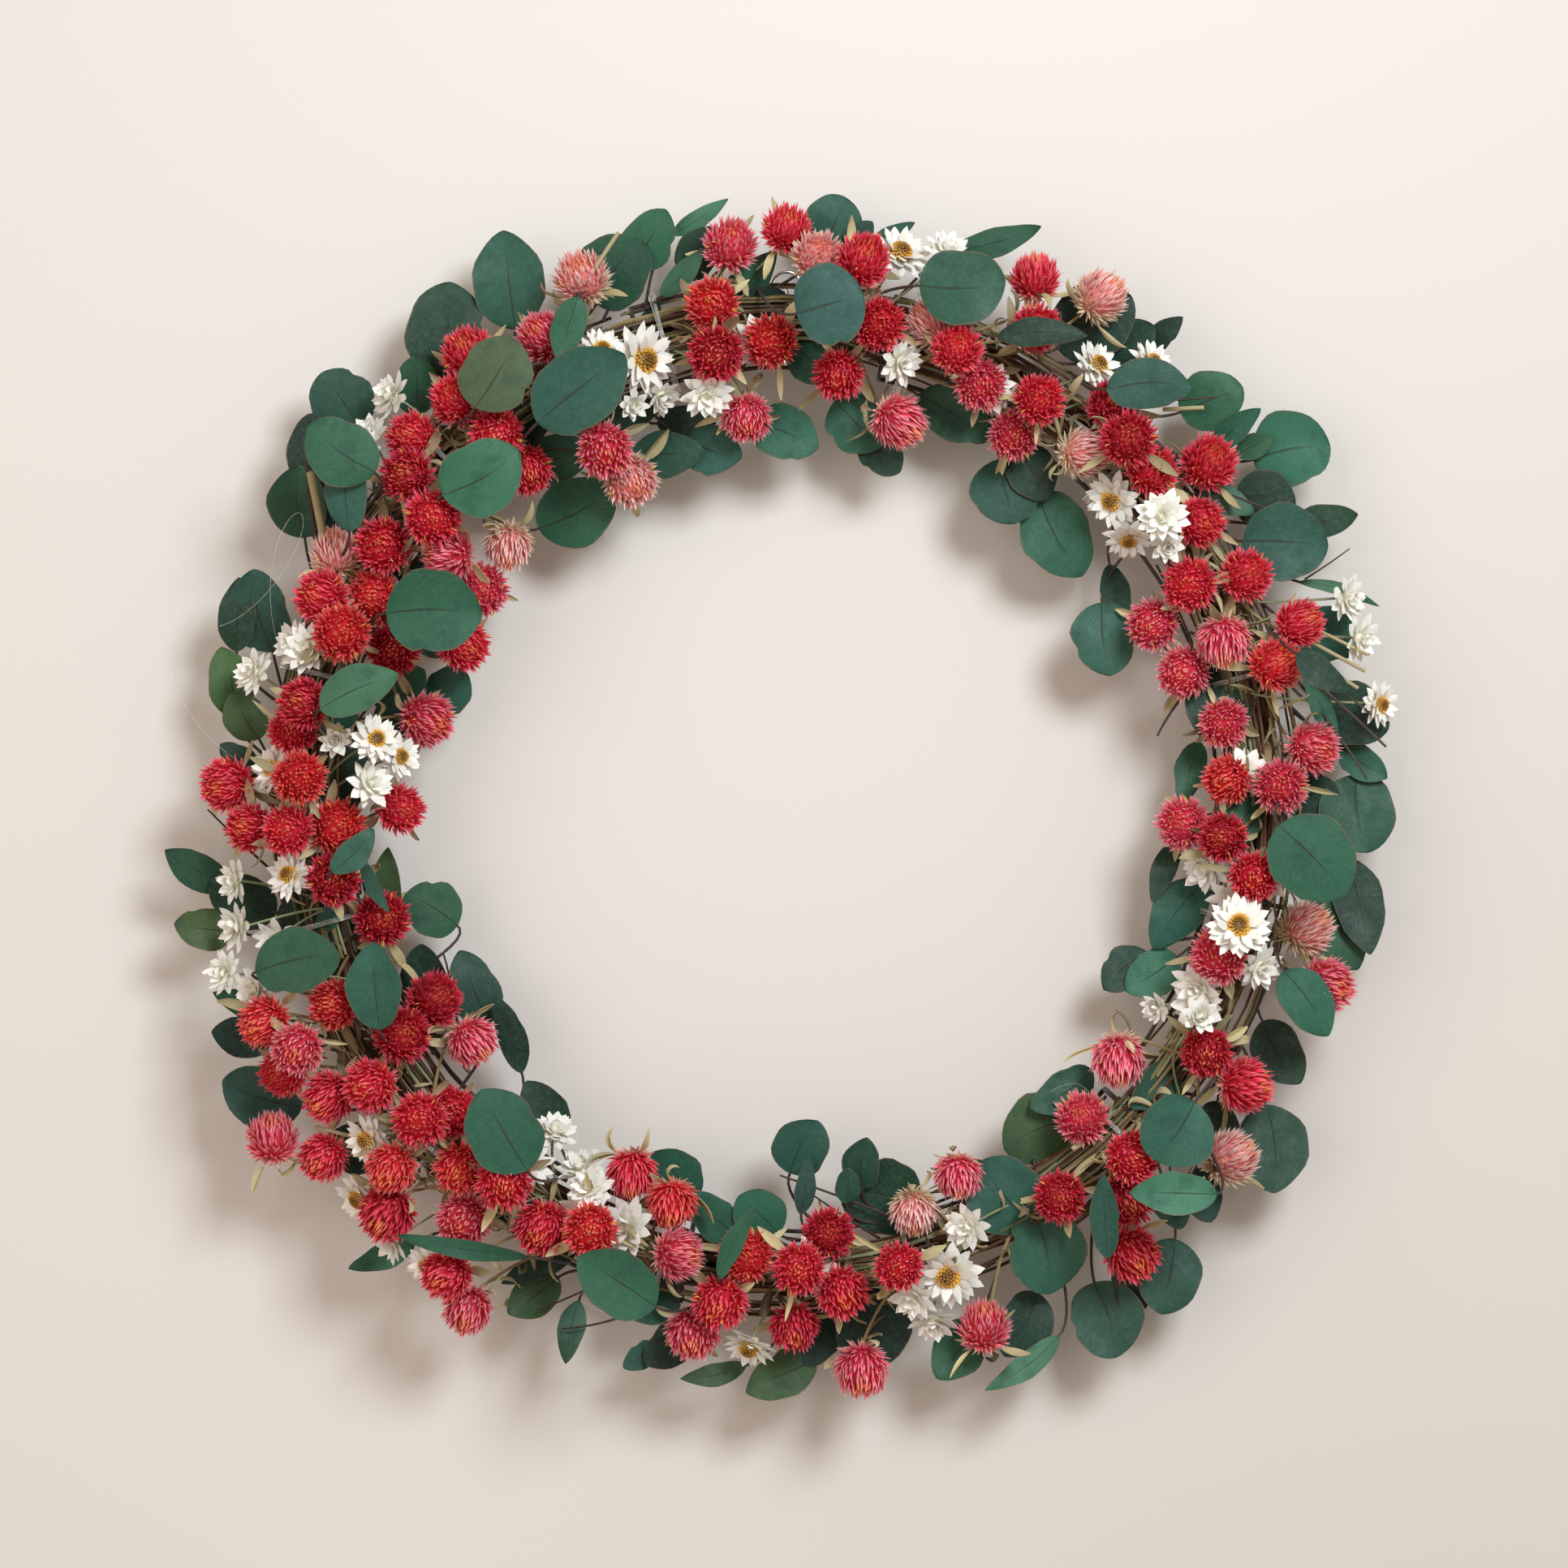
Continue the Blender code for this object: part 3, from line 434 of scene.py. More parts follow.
# Clock angle and out of each leaf's base, then of its tip, and its width in mm
LEAVES = {
    ("teal", "behind"): (
        (3.5, 36, 5.5, 60, 28), (6.5, 36, 8.5, 50, 12), (8.5, 38, 12.5, 53, 9), (17, 46, 24, 70, 14),
        (7, -33, 15, -50, 28), (-5, -44, 5, -56, 26), (18, -22, 29.5, -28, 25), (45.5, 36, 48, 64, 28),
        (50.8, 35, 50.5, 64, 13), (54, 48, 57, 80, 36), (32, -33, 40, -54, 32), (58, -47, 69, -58, 30),
        (71, 30, 75, 56, 26), (84.5, 38, 88, 58, 16), (87.5, 44, 95.3, 49, 36), (82, -26, 91, -37, 15),
        (101, 28, 106.5, 56, 26), (101, -22, 112, -36, 24), (122.5, 44, 129, 70, 32),
        (131.5, -30, 142, -37, 20), (138.5, 52, 144, 74, 30), (147.5, 46, 149.5, 80, 34),
        (160, 38, 165.5, 57, 24), (179.5, -46, 174.5, -70, 26), (193.8, 40, 196, 54, 12),
        (192, 10, 198.5, 28, 24), (193, -28, 201, -46, 24), (220, 48, 223, 77, 13),
        (233, -46, 245, -53, 24), (237.5, 46, 243.5, 71, 30), (246.5, 38, 251.5, 60, 14),
        (261, 42, 265.5, 68, 18), (249, -56, 256, -38, 26), (248, 6, 254, -12, 24),
        (286, 28, 293.5, 48, 30), (283, -23, 290, -42, 22), (285, -48, 291.5, -61, 22),
        (298, -18, 305, -32, 24), (298.5, 34, 304.5, 53, 28), (311, 42, 312.5, 72, 30),
        (316, 28, 320, 48, 22), (320.5, -24, 332, -31, 24), (330, 32, 333.5, 74, 34),
        (339, 26, 345.5, 47, 34), (343.5, 36, 348.5, 58, 24), (353, 4, 359, 34, 18),
        (335.5, -45, 347, -54, 22), (344, -44, 352.5, -60, 24), (317.5, -49, 331.5, -55, 32),
    ),
    ("dark", "behind"): (
        (12, -48, 19, -59, 20), (31, 24, 34.5, 62, 36), (36, 34, 38, 57, 20), (39, 46, 39.4, 69, 12),
        (33, -24, 41, -37, 24), (56, 30, 60, 52, 26), (54, -34, 63, -43, 14), (61.5, 48, 63.5, 75, 16),
        (80, 30, 83.5, 60, 30), (88, 14, 91, 36, 24), (96, 42, 105, 59, 24), (96, -37, 106, -44, 12),
        (115, 24, 119, 52, 24), (113, -37, 121, -48, 20), (125, 24, 131, 37, 22), (130, 2, 136, 18, 24),
        (132, 36, 135, 57, 20), (134.5, 30, 137.5, 50, 18), (143, 44, 146.5, 69, 20),
        (153, 37, 158.5, 57, 26), (168, 14, 173.5, 43, 34), (174.5, 20, 178.5, 42, 24),
        (162, -20, 172, -37, 36), (180, 2, 185, -10, 24), (190.5, 28, 194, 50, 20),
        (205, 10, 210.5, 40, 14), (211, 6, 217.5, 20, 10), (229, 28, 233.5, 46, 24),
        (213.5, -28, 222.5, -42, 22), (224, -43, 236.5, -57, 14), (245, 42, 248, 67, 20),
        (257, 24, 262, 49, 26), (254, 20, 260, -2, 24), (240, -25, 248.5, -38, 22),
        (272.5, 26, 275.5, 43, 14), (285, 44, 292, 53, 18), (280, -27, 286.5, -44, 20),
        (268, -8, 277, -22, 24), (303, 40, 309, 63, 28), (301, 22, 307, 38, 26), (320.5, 33, 327, 65, 38),
        (322, 2, 330, -10, 26), (330, -24, 343, -29, 20), (349, 26, 353, 47, 20), (354.5, 0, 360, 14, 20),
        (341, -35, 349.5, -42, 16), (341, -2, 346, 20, 12),
    ),
    ("olive", "behind"): (
        (137.5, -19, 148, -29, 34), (177, 41, 184, 55, 22), (184, 43, 190.5, 52, 11),
        (205.5, 26, 208.5, 51, 20), (256.5, 43, 258.5, 69, 20), (276.5, 26, 281, 41, 20),
        (278.5, 39, 285, 51, 22), (251.5, -17, 263, -33, 18),
    ),
    ("light", "behind"): (
        (52.5, 43, 53.5, 61, 12), (112, -24, 119.5, -39, 22), (153, 59, 161.5, 68, 12),
        (202.5, 32, 201.5, 61, 13),
        (348.5, 47, 354.5, 59, 9), (67, 38, 72, 68, 6),
    ),
    ("teal", "between"): (
        (1, -10, 6, -26, 22), (60.5, 22, 65, 55, 36), (90, -2, 96, -24, 20), (123.5, -2, 132, -7, 18),
        (149, 2, 152, 38, 36), (150, 6, 152, -30, 36), (169, -36, 166.5, -60, 18),
        (171.5, -31, 170.5, -48, 12), (178, -28, 176.5, -54, 10), (181, -19, 187, -36, 24),
        (185.5, -16, 193.5, -33, 20), (254, 6, 258.5, -12, 10),
        (277, -4, 287.5, -12, 20), (295.5, -23, 300, -54, 34),
    ),
    ("dark", "between"): ((72, -12, 83, -20, 32), (303.5, -4, 311.5, -16, 18)),
    ("light", "between"): ((53.5, 16, 58.5, 33, 14), (84, 35, 76, 25, 10), (346, 19, 351.5, 36, 11)),
    ("teal", "front"): (
        (14.5, 21, 23, 34, 36), (1.2, -1, 8.7, 10, 37), (38, 16, 44.5, 42, 24), (39.5, -36, 53, -47, 33),
        (93, 2, 99.5, 35, 38), (109, 20, 113.5, 50, 24), (126.5, 9, 134.5, 11, 34),
        (145, 34, 139.5, 2, 14), (194.5, 16, 204.5, 7, 30), (188, 0, 184.5, -34, 10),
        (209.5, 18, 222, 45, 9), (215, -16, 226.5, -30, 34), (252, 33, 250.5, -6, 30),
        (240.5, -8, 251, -22, 26), (262, -24, 254, -31, 7), (261, -11, 266, -32, 14),
        (295, -21, 301.5, -59, 38), (308.5, 17, 308, 53, 30), (301.5, 12, 309, 33, 20),
        (311.5, -13, 322.5, -22, 34), (326.5, -15, 340, -5, 36),
        (337.5, 28, 332.5, 5, 16),
    ),
    ("olive", "front"): ((321.5, 7, 329.5, 23, 33),),
    ("dark", "front"): ((24.5, 11, 33, 31, 14), (74, 20, 79, 40, 14)),
    ("light", "front"): ((132.5, 43, 139, 15, 20), (281, -6, 288, -36, 22)),
}

# Leafless twigs: clock angle and out where each starts and ends, its rise and its radius in mm
TWIGS = (
    (298, 24, 305.5, 51, 22, 1.2), (296, 20, 303, 40, 20, 0.8), (74, 18, 85, 56, 24, 1.0),
    (72, 16, 82, 52, 26, 0.8), (77, 22, 88, 47, 20, 0.9), (74, -22, 80.3, -46, 16, 0.9),
    (67, 40, 66, 64, 14, 0.5), (161, -6, 181, -46, 14, 0.8), (168, -12, 176, -36, 12, 0.7),
    (233, -30, 246, -46, 14, 0.8), (196, 26, 203, 46, 8, 0.7), (201, 20, 206, 43, 8, 0.6),
    (140, 30, 146, 52, 12, 0.8), (262, 20, 269, 47, 12, 0.7), (40, 22, 47, 52, 14, 0.8),
    (322, -12, 334, -40, 16, 0.8), (52, 20, 60, 44, 14, 0.8),
)

waxy = Finish("eucalyptus_leaf", {"Specular IOR Level": 0.35, "Sheen Weight": 0.05})
spot = waxy.attribute("spot", "Vector")
breadth = abs(waxy.axis(spot, "X"))
length = waxy.axis(spot, "Y")
wobble = waxy.noise(waxy.here(), 260.0, 3.0) * 0.10 - 0.05
midrib = 1.0 - waxy.mask(breadth + wobble * 0.25, 0.008, 0.040)
midrib = midrib * (1.0 - waxy.mask(length, 0.40, 0.92))
side_veins = waxy.node("Math", {"operation": "SINE"}, {0: (length - breadth * 0.55 + wobble) * 62.0})
side_veins = waxy.mask(side_veins, 0.86, 1.0) * waxy.mask(breadth, 0.05, 0.2)
mottle = waxy.noise(waxy.here(), 420.0, 5.0, 0.7)
blotches = waxy.noise(waxy.here(), 95.0, 3.0, 0.6)
rim = waxy.mask(breadth + wobble * 0.5, 0.94, 1.0)
green = waxy.attribute("tint", "Color")
green = waxy.mix(waxy.mask(mottle, 0.40, 0.72) * 0.22, green, (0.085, 0.19, 0.13, 1))
green = waxy.mix(waxy.mask(blotches, 0.48, 0.74) * 0.50, green, (0.014, 0.055, 0.040, 1))
green = waxy.mix(side_veins * 0.16, green, (0.12, 0.20, 0.12, 1))
green = waxy.mix(rim * 0.6, green, (0.17, 0.085, 0.055, 1))
green = waxy.mix(midrib * 0.8, green, (0.030, 0.022, 0.020, 1))
waxy.feed("Base Color", green)
waxy.feed("Roughness", waxy.mask(blotches, 0.3, 0.75) * 0.20 + 0.50)
waxy.feed("Normal", waxy.bump(mottle * 0.35 + midrib * 0.6 + side_veins * 0.25, 0.0005, 0.7))


def leaf(base, tip, width, face, cup, rng):
    """A thin, closed leaf from its base to its tip, with a folded middle, a wavy edge and nicks."""
    along = tip - base
    length = np.linalg.norm(along)
    side = unit(np.cross(along, face))
    front = unit(np.cross(side, along))
    rows = (1 - np.cos(np.pi * np.linspace(0, 1, LEAF_ROWS))) / 2
    columns = np.linspace(-1, 1, LEAF_COLUMNS)
    narrow = np.clip(1.5 - 1.3 * width * MM / length, 0, 1)
    belly = np.abs(2 * rows ** (0.92 - 0.1 * narrow) - 1) ** (2.35 - 0.6 * narrow)
    swell = (1 - belly) ** (0.5 + 0.3 * narrow)
    half = width * MM / 2 * np.maximum(swell, 0.03)
    waves = 0.035 * np.sin(rows * rng.uniform(9, 16) + rng.uniform(0, 6))
    edge = 1 + waves[:, None] * np.abs(columns)[None, :] ** 3
    nick = rng.uniform(0.2, 0.85)
    edge[:, -1] -= rng.uniform(0.0, 0.16) * np.exp(-(((rows - nick) / 0.06) ** 2))
    sideways = half[:, None] * columns[None, :] * edge
    lift = cup * np.abs(columns)[None, :] ** 1.5 * half[:, None]
    lift += (rng.uniform(-0.10, 0.16) * rows**2 + 0.04 * np.sin(np.pi * rows))[:, None] * length
    lift += 0.02 * length * np.sin(rows * 6 + rng.uniform(0, 6))[:, None] * columns[None, :]
    bend = side * rng.uniform(-0.07, 0.07) * length
    middle = base + along * rows[:, None, None] + bend * np.sin(np.pi * rows)[:, None, None]
    sheet = middle + side * sideways[..., None] + front * lift[..., None]
    skins = [sheet + front * LEAF_THICK / 2 * MM, sheet - front * LEAF_THICK / 2 * MM]
    points = np.concatenate([skin.reshape(-1, 3) for skin in skins])
    numbers = np.arange(LEAF_ROWS * LEAF_COLUMNS).reshape(LEAF_ROWS, LEAF_COLUMNS)
    corner = numbers[:-1, :-1].ravel()
    top = np.stack((corner, corner + LEAF_COLUMNS, corner + LEAF_COLUMNS + 1, corner + 1), -1)
    under = top[:, ::-1] + numbers.size
    border = np.concatenate((numbers[0, :-1], numbers[:-1, -1], numbers[-1, :0:-1], numbers[:0:-1, 0]))
    following = np.roll(border, -1)
    skirt = np.stack((border, following, following + numbers.size, border + numbers.size), -1)
    spots = np.zeros((LEAF_ROWS, LEAF_COLUMNS, 3))
    spots[..., 0] = columns[None, :]
    spots[..., 1] = rows[:, None]
    return points, [top, under, skirt], np.concatenate([spots.reshape(-1, 3)] * 2)


def curve(points, steps):
    """A smooth path through a few guide points (a Bezier curve of as many points)."""
    shares = np.linspace(0, 1, steps)[:, None]
    guides = [np.repeat(np.asarray(point, float)[None, :], steps, 0) for point in points]
    while len(guides) > 1:
        guides = [first * (1 - shares) + second * shares for first, second in zip(guides[:-1], guides[1:])]
    return guides[0]


def head_fronts(base, tip, reach):
    """The rise of the frontmost head that a leaf passes over, or 0."""
    most = 0
    for seat in sum(globe_seats.values(), []):
        share = np.clip((seat[0] - base) @ (tip - base) / ((tip - base) @ (tip - base)), 0, 1)
        apart = seat[0] - base - (tip - base) * share
        if math.hypot(apart[0], apart[2]) < (reach + 0.55 * GLOBE_R) * MM:
            most = max(most, BASE_Y - seat[0][1] / MM + 0.86 * GLOBE_R)
    return most


sprigs = {title: Growth() for title in titles}
for number, title, tie_clock, rng in bunches(300):
    tilt = 10 if number % 2 else -10
    clocks = np.linspace(tie_clock - 2.7, tie_clock + 25, 26)
    for side_turn in (tilt, 180 - tilt):
        path = round_base(clocks, side_turn + 3 * np.sin(clocks * 0.7), SPRIG_LAY)
        sprigs[title].stem(path, np.linspace(SPRIG_R, 0.8, 26), TWIG_TINT)
    bridge = round_base(tie_clock - 2.7, np.linspace(tilt, 180 - tilt, 20), SPRIG_LAY)
    sprigs[title].stem(bridge, SPRIG_R, TWIG_TINT)

rng = np.random.default_rng(77)
for (shade, layer), rows in LEAVES.items():
    for number, (base_clock, base_out, tip_clock, tip_out, width) in enumerate(rows):
        if layer == "front":
            over = head_fronts(place(base_clock, base_out, 0), place(tip_clock, tip_out, 0), width / 2)
            rises = np.full(2, min(over + LEAF_OVER_HEADS, LEAF_HIGHEST))
        else:
            rises = np.array(LEAF_RISES[layer]) + 2.0 * (number % 3)
        base, tip = place((base_clock, tip_clock), (base_out, tip_out), rises)
        lean = 0.22 if layer == "front" else 0.16
        face = np.array((rng.uniform(-lean, lean), -1.0, rng.uniform(-lean, lean)))
        points, faces, spots = leaf(base, tip, width, face, rng.uniform(-0.10, 0.22), rng)
        title = titles[bunch_at(base_clock)]
        tint = np.array(LEAF_TINTS[shade]) * rng.uniform(0.75, 1.3) * (1 + rng.uniform(-0.18, 0.18, 3))
        sprigs[title].add(points, faces, tint, spots)
        anchor = round_base(base_clock - 4.5, 25 if base_out + tip_out > 0 else 155, SPRIG_LAY)
        heel = base + (tip - base) * 0.04
        before = base - unit(tip - base) * 9 * MM - (0, -2 * MM, 0)
        path = curve((anchor, (anchor + before) / 2, before, heel), 10)
        sprigs[title].stem(path, np.linspace(0.85, PETIOLE_R, 10), TWIG_TINT, 5)
for start_clock, start_out, end_clock, end_out, rise, radius in TWIGS:
    title = titles[bunch_at(start_clock)]
    start, end = place(start_clock, start_out, rise), place(end_clock, end_out, rise + 4)
    bow = (start + end) / 2 + rng.uniform(-3, 3, 3) * MM
    sprigs[title].stem(curve((start, bow, end), 9), np.linspace(radius, radius * 0.6, 9), TWIG_TINT, 5)
for title in titles:
    sprigs[title].piece(title + "_eucalyptus_sprig", waxy, [title + "_eucalyptus"], "eucalyptus")

# ---- Globe amaranth ----
# Round heads of stiff, dry, pointed bracts that overlap like scales. Crimson or pink bracts have paler
# tips, brightened further by painted light glowing through them, and their roots and the core inside are
# darkened with painted shade that falls between the bracts. The youngest at the top show orange, and the
# oldest, by the stem, are cream. Straw-coloured stems and curled dry leaves stay on the heads. The stems are
# gathered along the base.

BRACTS = 320
FLORETS = 8
GOLDEN_TURN = 2.399963
ANY_WAY = (0.3, 0.5, 0.8)  # not along any blade
BRACT_LOWEST = 1.9  # how far down the ball the bracts go, from 0 at the top to 2 at the stem
BRACT_WIDTH = 0.145
BRACT_DEPTH = 0.075
HEAD_COPIES = 3  # differently grown heads of each colour
HEAD_R = 12.8
CORE_SHARE = 0.74  # of a head's radius
SAME_HEAD = 7.5  # a table's place this near to a head is that head's
STALK_R = 0.75
BUNDLE_LAY = 19.6  # of the stems along the base
BUNDLE_TURN = 72
BUNDLE_STEMS = 18
STRAW = (0.24, 0.19, 0.085)
DRY_LEAF = (0.54, 0.48, 0.27)
CREAM = (0.74, 0.63, 0.42)
STEM_TINTS = (STRAW, (0.11, 0.060, 0.032), (0.15, 0.14, 0.060), (0.060, 0.035, 0.022))
STRIP_ROWS = 8
APEX = (0.94, 0.32, 0.10)
FLORET = (0.92, 0.60, 0.12)
# Colours of a bract's root, middle and tip. The darker root is painted shade that falls between the bracts,
# and the pale tip is partly the bract's own paler colour and partly painted light glowing through it.
BRACT_TINTS = {
    "red": ((0.44, 0.003, 0.018), (0.90, 0.014, 0.056), (1.00, 0.30, 0.38)),
    "deep": ((0.30, 0.002, 0.012), (0.72, 0.008, 0.038), (0.95, 0.18, 0.26)),
    "coral": ((0.48, 0.006, 0.016), (0.92, 0.032, 0.048), (1.00, 0.38, 0.34)),
    "pink": ((0.50, 0.018, 0.050), (0.92, 0.090, 0.170), (1.00, 0.60, 0.64)),
    "pale": ((0.66, 0.190, 0.180), (0.94, 0.450, 0.450), (1.00, 0.90, 0.82)),
}
# Clock angle and out of the heads that aren't red
HEAD_COLOURS = {
    "pale": (
        (17, 5), (32.3, 52), (40.5, -11), (104, 26), (128.8, 42), (162, -22), (298, 15), (312.3, -46),
        (338.3, 37), (334, -56), (2.5, 28),
    ),
    "pink": (
        (16.5, -38), (25, -10), (34.3, 1), (31.8, -22), (70, -10), (64.5, -33), (71.5, -28), (81.3, -16),
        (88.3, 9), (84.3, 23), (93.5, -37), (109, 42), (111.5, -10), (128, -26), (135.3, -20),
        (155.8, -30), (159.5, 39), (172.3, 44), (190, 29), (193.3, -9), (211.8, 56), (213.8, 46),
        (218.8, 26), (232.5, -37), (244.3, 32), (236.7, 63), (282.5, -50), (304.5, -49), (304.5, -33),
        (315.3, 24), (332.3, -43), (355, 36), (331.8, 22), (354, -43),
    ),
    "coral": (
        (358, -10), (73.3, 10), (87.3, -17), (184.8, -10), (197.5, -28), (204.3, -8), (223, 8),
        (226.8, 28), (230.5, 7), (243.8, 7), (248.3, 38), (266.5, -17), (272.5, 4), (290, -1), (296, -9),
        (351.3, 9),
    ),
    "deep": (
        (38, 10), (43.5, 8), (93.5, -24), (122.5, 7), (140.8, 24), (145.5, 1), (174.5, -19), (179.8, 22),
        (223.8, 45), (253.5, -26), (261.5, -6), (283, 5), (292.5, -27), (311.8, 11), (349.3, -18),
        (238.5, -17), (239.5, -33),
    ),
}
# Clock angle and out of the heads that face sideways, and how far they lean to the right and upwards
HEAD_LEANS = (
    (17, 5, -0.8, 0.8), (25.5, 45, 0, 1.2), (16.5, -38, 0.9, -0.7), (32.3, 52, 0.9, 0.8),
    (40.5, -11, 1.1, 0), (70, -10, 0, -1.2), (121.8, 28, 1.0, 0), (128.8, 42, 0.8, 0.6),
    (128, -26, 0, -1.1), (155.8, -30, 0, -1.2), (162, -22, 0, -1.1), (159.5, 39, 0, 1.0),
    (193.3, -9, 1.0, 0), (197.5, -28, 0, -0.9), (202.5, -34, 0, -1.2), (232.5, -37, 0.8, -0.8),
    (236.7, 63, 0, 1.1), (268.5, 30, 1.0, 0), (298, 15, 0, 1.1), (304.5, -33, -1.0, 0),
    (312.3, -46, 0, -1.2), (315.3, 24, 0, 1.0), (104, 26, 0.8, 0.5),
)
# Cut stalks that stick out: clock angle and out where each starts and ends, its rise and its radius in mm
STUBS = (
    (299, 22, 304.5, 44, 30, 1.8), (338, 32, 343.5, 50, 30, 1.0), (44, 28, 46.8, 41, 34, 1.0),
    (232, 32, 235.2, 43, 24, 1.0), (71, 22, 77.5, 51, 28, 0.9), (72.5, 20, 79, 46, 30, 0.9),
    (70, 26, 76, 54, 26, 0.8), (306, -6, 309, 6, 40, 1.2),
)
# Rings round a blade: share of its length, and of its width there
NEEDLE = ((0.25, 1.0), (0.66, 0.66))
PETAL = ((0.22, 0.62), (0.56, 1.0), (0.82, 0.58))


def blades(rings, roots, tips, faces, widths, depths, bows):
    """Pointed, keeled blades, each closed round its root, a few rings of four points, and its tip."""
    along = tips - roots
    sides = unit(np.cross(along, faces))
    fronts = unit(np.cross(sides, along))
    points = [roots]
    for share, breadth in rings:
        middle = roots + along * share + fronts * (4 * share * (1 - share) * bows)[:, None]
        for side, front in ((1, 0), (0, -1), (-1, 0), (0, 1)):
            aside = sides * (side * breadth * widths / 2)[:, None]
            points.append(middle + aside + fronts * (front * depths / 2)[:, None])
    points.append(tips)
    return np.stack(points, 1)


def strip(root, way, face, length, width, curl, fold):
    """A thin, closed, curled leaf with a folded middle, as its points and faces. Its sizes are in mm."""
    rows = np.linspace(0, 1, STRIP_ROWS)
    side = unit(np.cross(way, face))
    front = np.cross(side, way)
    way = way + side * 0.5 * np.sin(curl)
    turn = curl * rows**1.5
    steps = np.outer(np.cos(turn), way) + np.outer(np.sin(turn), front)
    middle = root + np.cumsum(steps, 0) * length * MM / STRIP_ROWS
    normals = np.outer(np.cos(turn), front) - np.outer(np.sin(turn), way)
    half = width * MM / 2 * np.sin(np.pi * np.clip(rows, 0.06, 0.97)) ** 0.8
    skins = []
    for lift in (0.12, -0.12):
        for column in (-1, 0, 1):
            height = lift * MM + fold * abs(column) * half
            skins.append(middle + side * (column * half)[:, None] + normals * np.reshape(height, (-1, 1)))
    starts = np.array((0, 1, 2, 5, 4, 3)) * STRIP_ROWS  # round the strip: over the front, then back behind
    first = (starts[:, None] + np.arange(STRIP_ROWS - 1)).ravel()
    second = (np.roll(starts, -1)[:, None] + np.arange(STRIP_ROWS - 1)).ravel()
    ends = np.array((starts[::-1], starts + STRIP_ROWS - 1))
    return np.concatenate(skins), [np.stack((first, second, second + 1, first + 1), -1), ends]


def blade_blocks(rings, count):
    """The faces of this many blades."""
    quads, ends = [], []
    last = 1 + 4 * len(rings)
    for corner in range(4):
        following = (corner + 1) % 4
        ends += [(0, 1 + following, 1 + corner), (last - 4 + corner, last - 4 + following, last)]
        for lower in range(1, last - 4, 4):
            quads.append((lower + corner, lower + following, lower + following + 4, lower + corner + 4))
    first = (np.arange(count) * (last + 1))[:, None, None]
    return [(first + np.array(block)[None]).reshape(-1, len(block[0])) for block in (quads, ends)]


def shaded(rings, root, middle, tip, count):
    """The tints of this many blades' points, from root to tip."""
    shares = [0] + [share for share, _ in rings for _ in range(4)] + [1]
    stops = [np.interp(shares, (0.1, 0.6, 1.0), channel) for channel in zip(root, middle, tip)]
    return np.repeat(np.stack(stops, -1)[None], count, 0)


def toward(tints, colour, share):
    """Tints drawn towards a colour, by a share for each blade."""
    return tints + (np.asarray(colour) - tints) * np.reshape(share, (-1, 1, 1))


def on_ball(height, turn):
    """Points of the unit ball at these heights and turns, and the way up along the ball from each."""
    flat = np.sqrt(1 - height**2)
    out = np.stack((flat * np.cos(turn), flat * np.sin(turn), height), -1)
    return out, np.stack((-height * np.cos(turn), -height * np.sin(turn), flat), -1)


def amaranth_head(colour, seed):
    """A head of unit radius with its top at +Z, as the points and the tints of its blades."""
    rng = np.random.default_rng(seed)
    order = np.arange(BRACTS)
    height = 1 - BRACT_LOWEST * (order + 0.5) / BRACTS + rng.normal(0, 0.012, BRACTS)
    height = np.clip(height, -0.97, 0.995)
    out, up = on_ball(height, order * GOLDEN_TURN + rng.normal(0, 0.10, BRACTS))
    flat = up[:, 2]
    lean = (0.05 + 0.16 * flat) * rng.uniform(0.5, 1.5, BRACTS)
    across = np.cross(out, up) * rng.normal(0, 0.05, BRACTS)[:, None]
    tips = out * rng.uniform(0.90, 1.17, BRACTS)[:, None] + up * lean[:, None] + across
    roots = out * 0.50 - up * (0.26 * flat)[:, None]
    widths = BRACT_WIDTH * rng.uniform(0.75, 1.15, BRACTS)
    points = blades(NEEDLE, roots, tips, out, widths, np.full(BRACTS, BRACT_DEPTH), np.full(BRACTS, 0.05))
    tints = shaded(NEEDLE, *BRACT_TINTS[colour], BRACTS) * rng.uniform(0.80, 1.15, (BRACTS, 1, 1))
    tints = toward(tints, APEX, np.clip((height - 0.86) / 0.14, 0, 1) * 0.7)
    cream_from = 0.15 if colour == "pale" else -0.45
    tints = toward(tints, CREAM, np.clip((cream_from - height) / 0.5, 0, 1) * 0.9)
    dots = rng.uniform(0.0, 0.98, FLORETS)
    out, _ = on_ball(dots, rng.uniform(0, 2 * np.pi, FLORETS))
    face = np.cross(out, ANY_WAY)
    sizes = np.full(FLORETS, 0.038)
    florets = blades(NEEDLE, out * 0.75, out * 1.05, face, sizes, sizes, sizes)
    floret_tints = shaded(NEEDLE, APEX, FLORET, FLORET, FLORETS)
    return np.concatenate((points, florets)), np.concatenate((tints, floret_tints))


def varied(tint, rng, least, most):
    return np.array(tint) * rng.uniform(least, most)


def leaving(clock, tie_clock, turn):
    """Where the stem of a flower leaves the bundle along the base, and where it is lifted to next."""
    start = tie_clock + 20
    if clock > tie_clock - 3:
        start = min(max(clock - 7, tie_clock + 0.5), tie_clock + 22)
    return round_base(start, turn, BUNDLE_LAY), round_base(start + 2.5, turn, BUNDLE_LAY + 4.4)


def ball(stacks, slices):
    """A closed ball of unit radius."""
    levels = np.pi * np.arange(1, stacks) / stacks
    turns = 2 * np.pi * np.arange(slices) / slices
    rings, _ = on_ball(np.repeat(np.cos(levels), slices), np.tile(turns, stacks - 1))
    points = np.concatenate(([(0, 0, 1)], rings, [(0, 0, -1)]))
    quads, ends = [], []
    last = len(points) - 1
    for first in range(slices):
        second = (first + 1) % slices
        ends.append((0, 1 + first, 1 + second))
        ends.append((last, last - slices + second, last - slices + first))
        for upper in range(1, last - slices, slices):
            lower = upper + slices
            quads.append((upper + first, lower + first, lower + second, upper + second))
    return points, [np.array(quads), np.array(ends)]


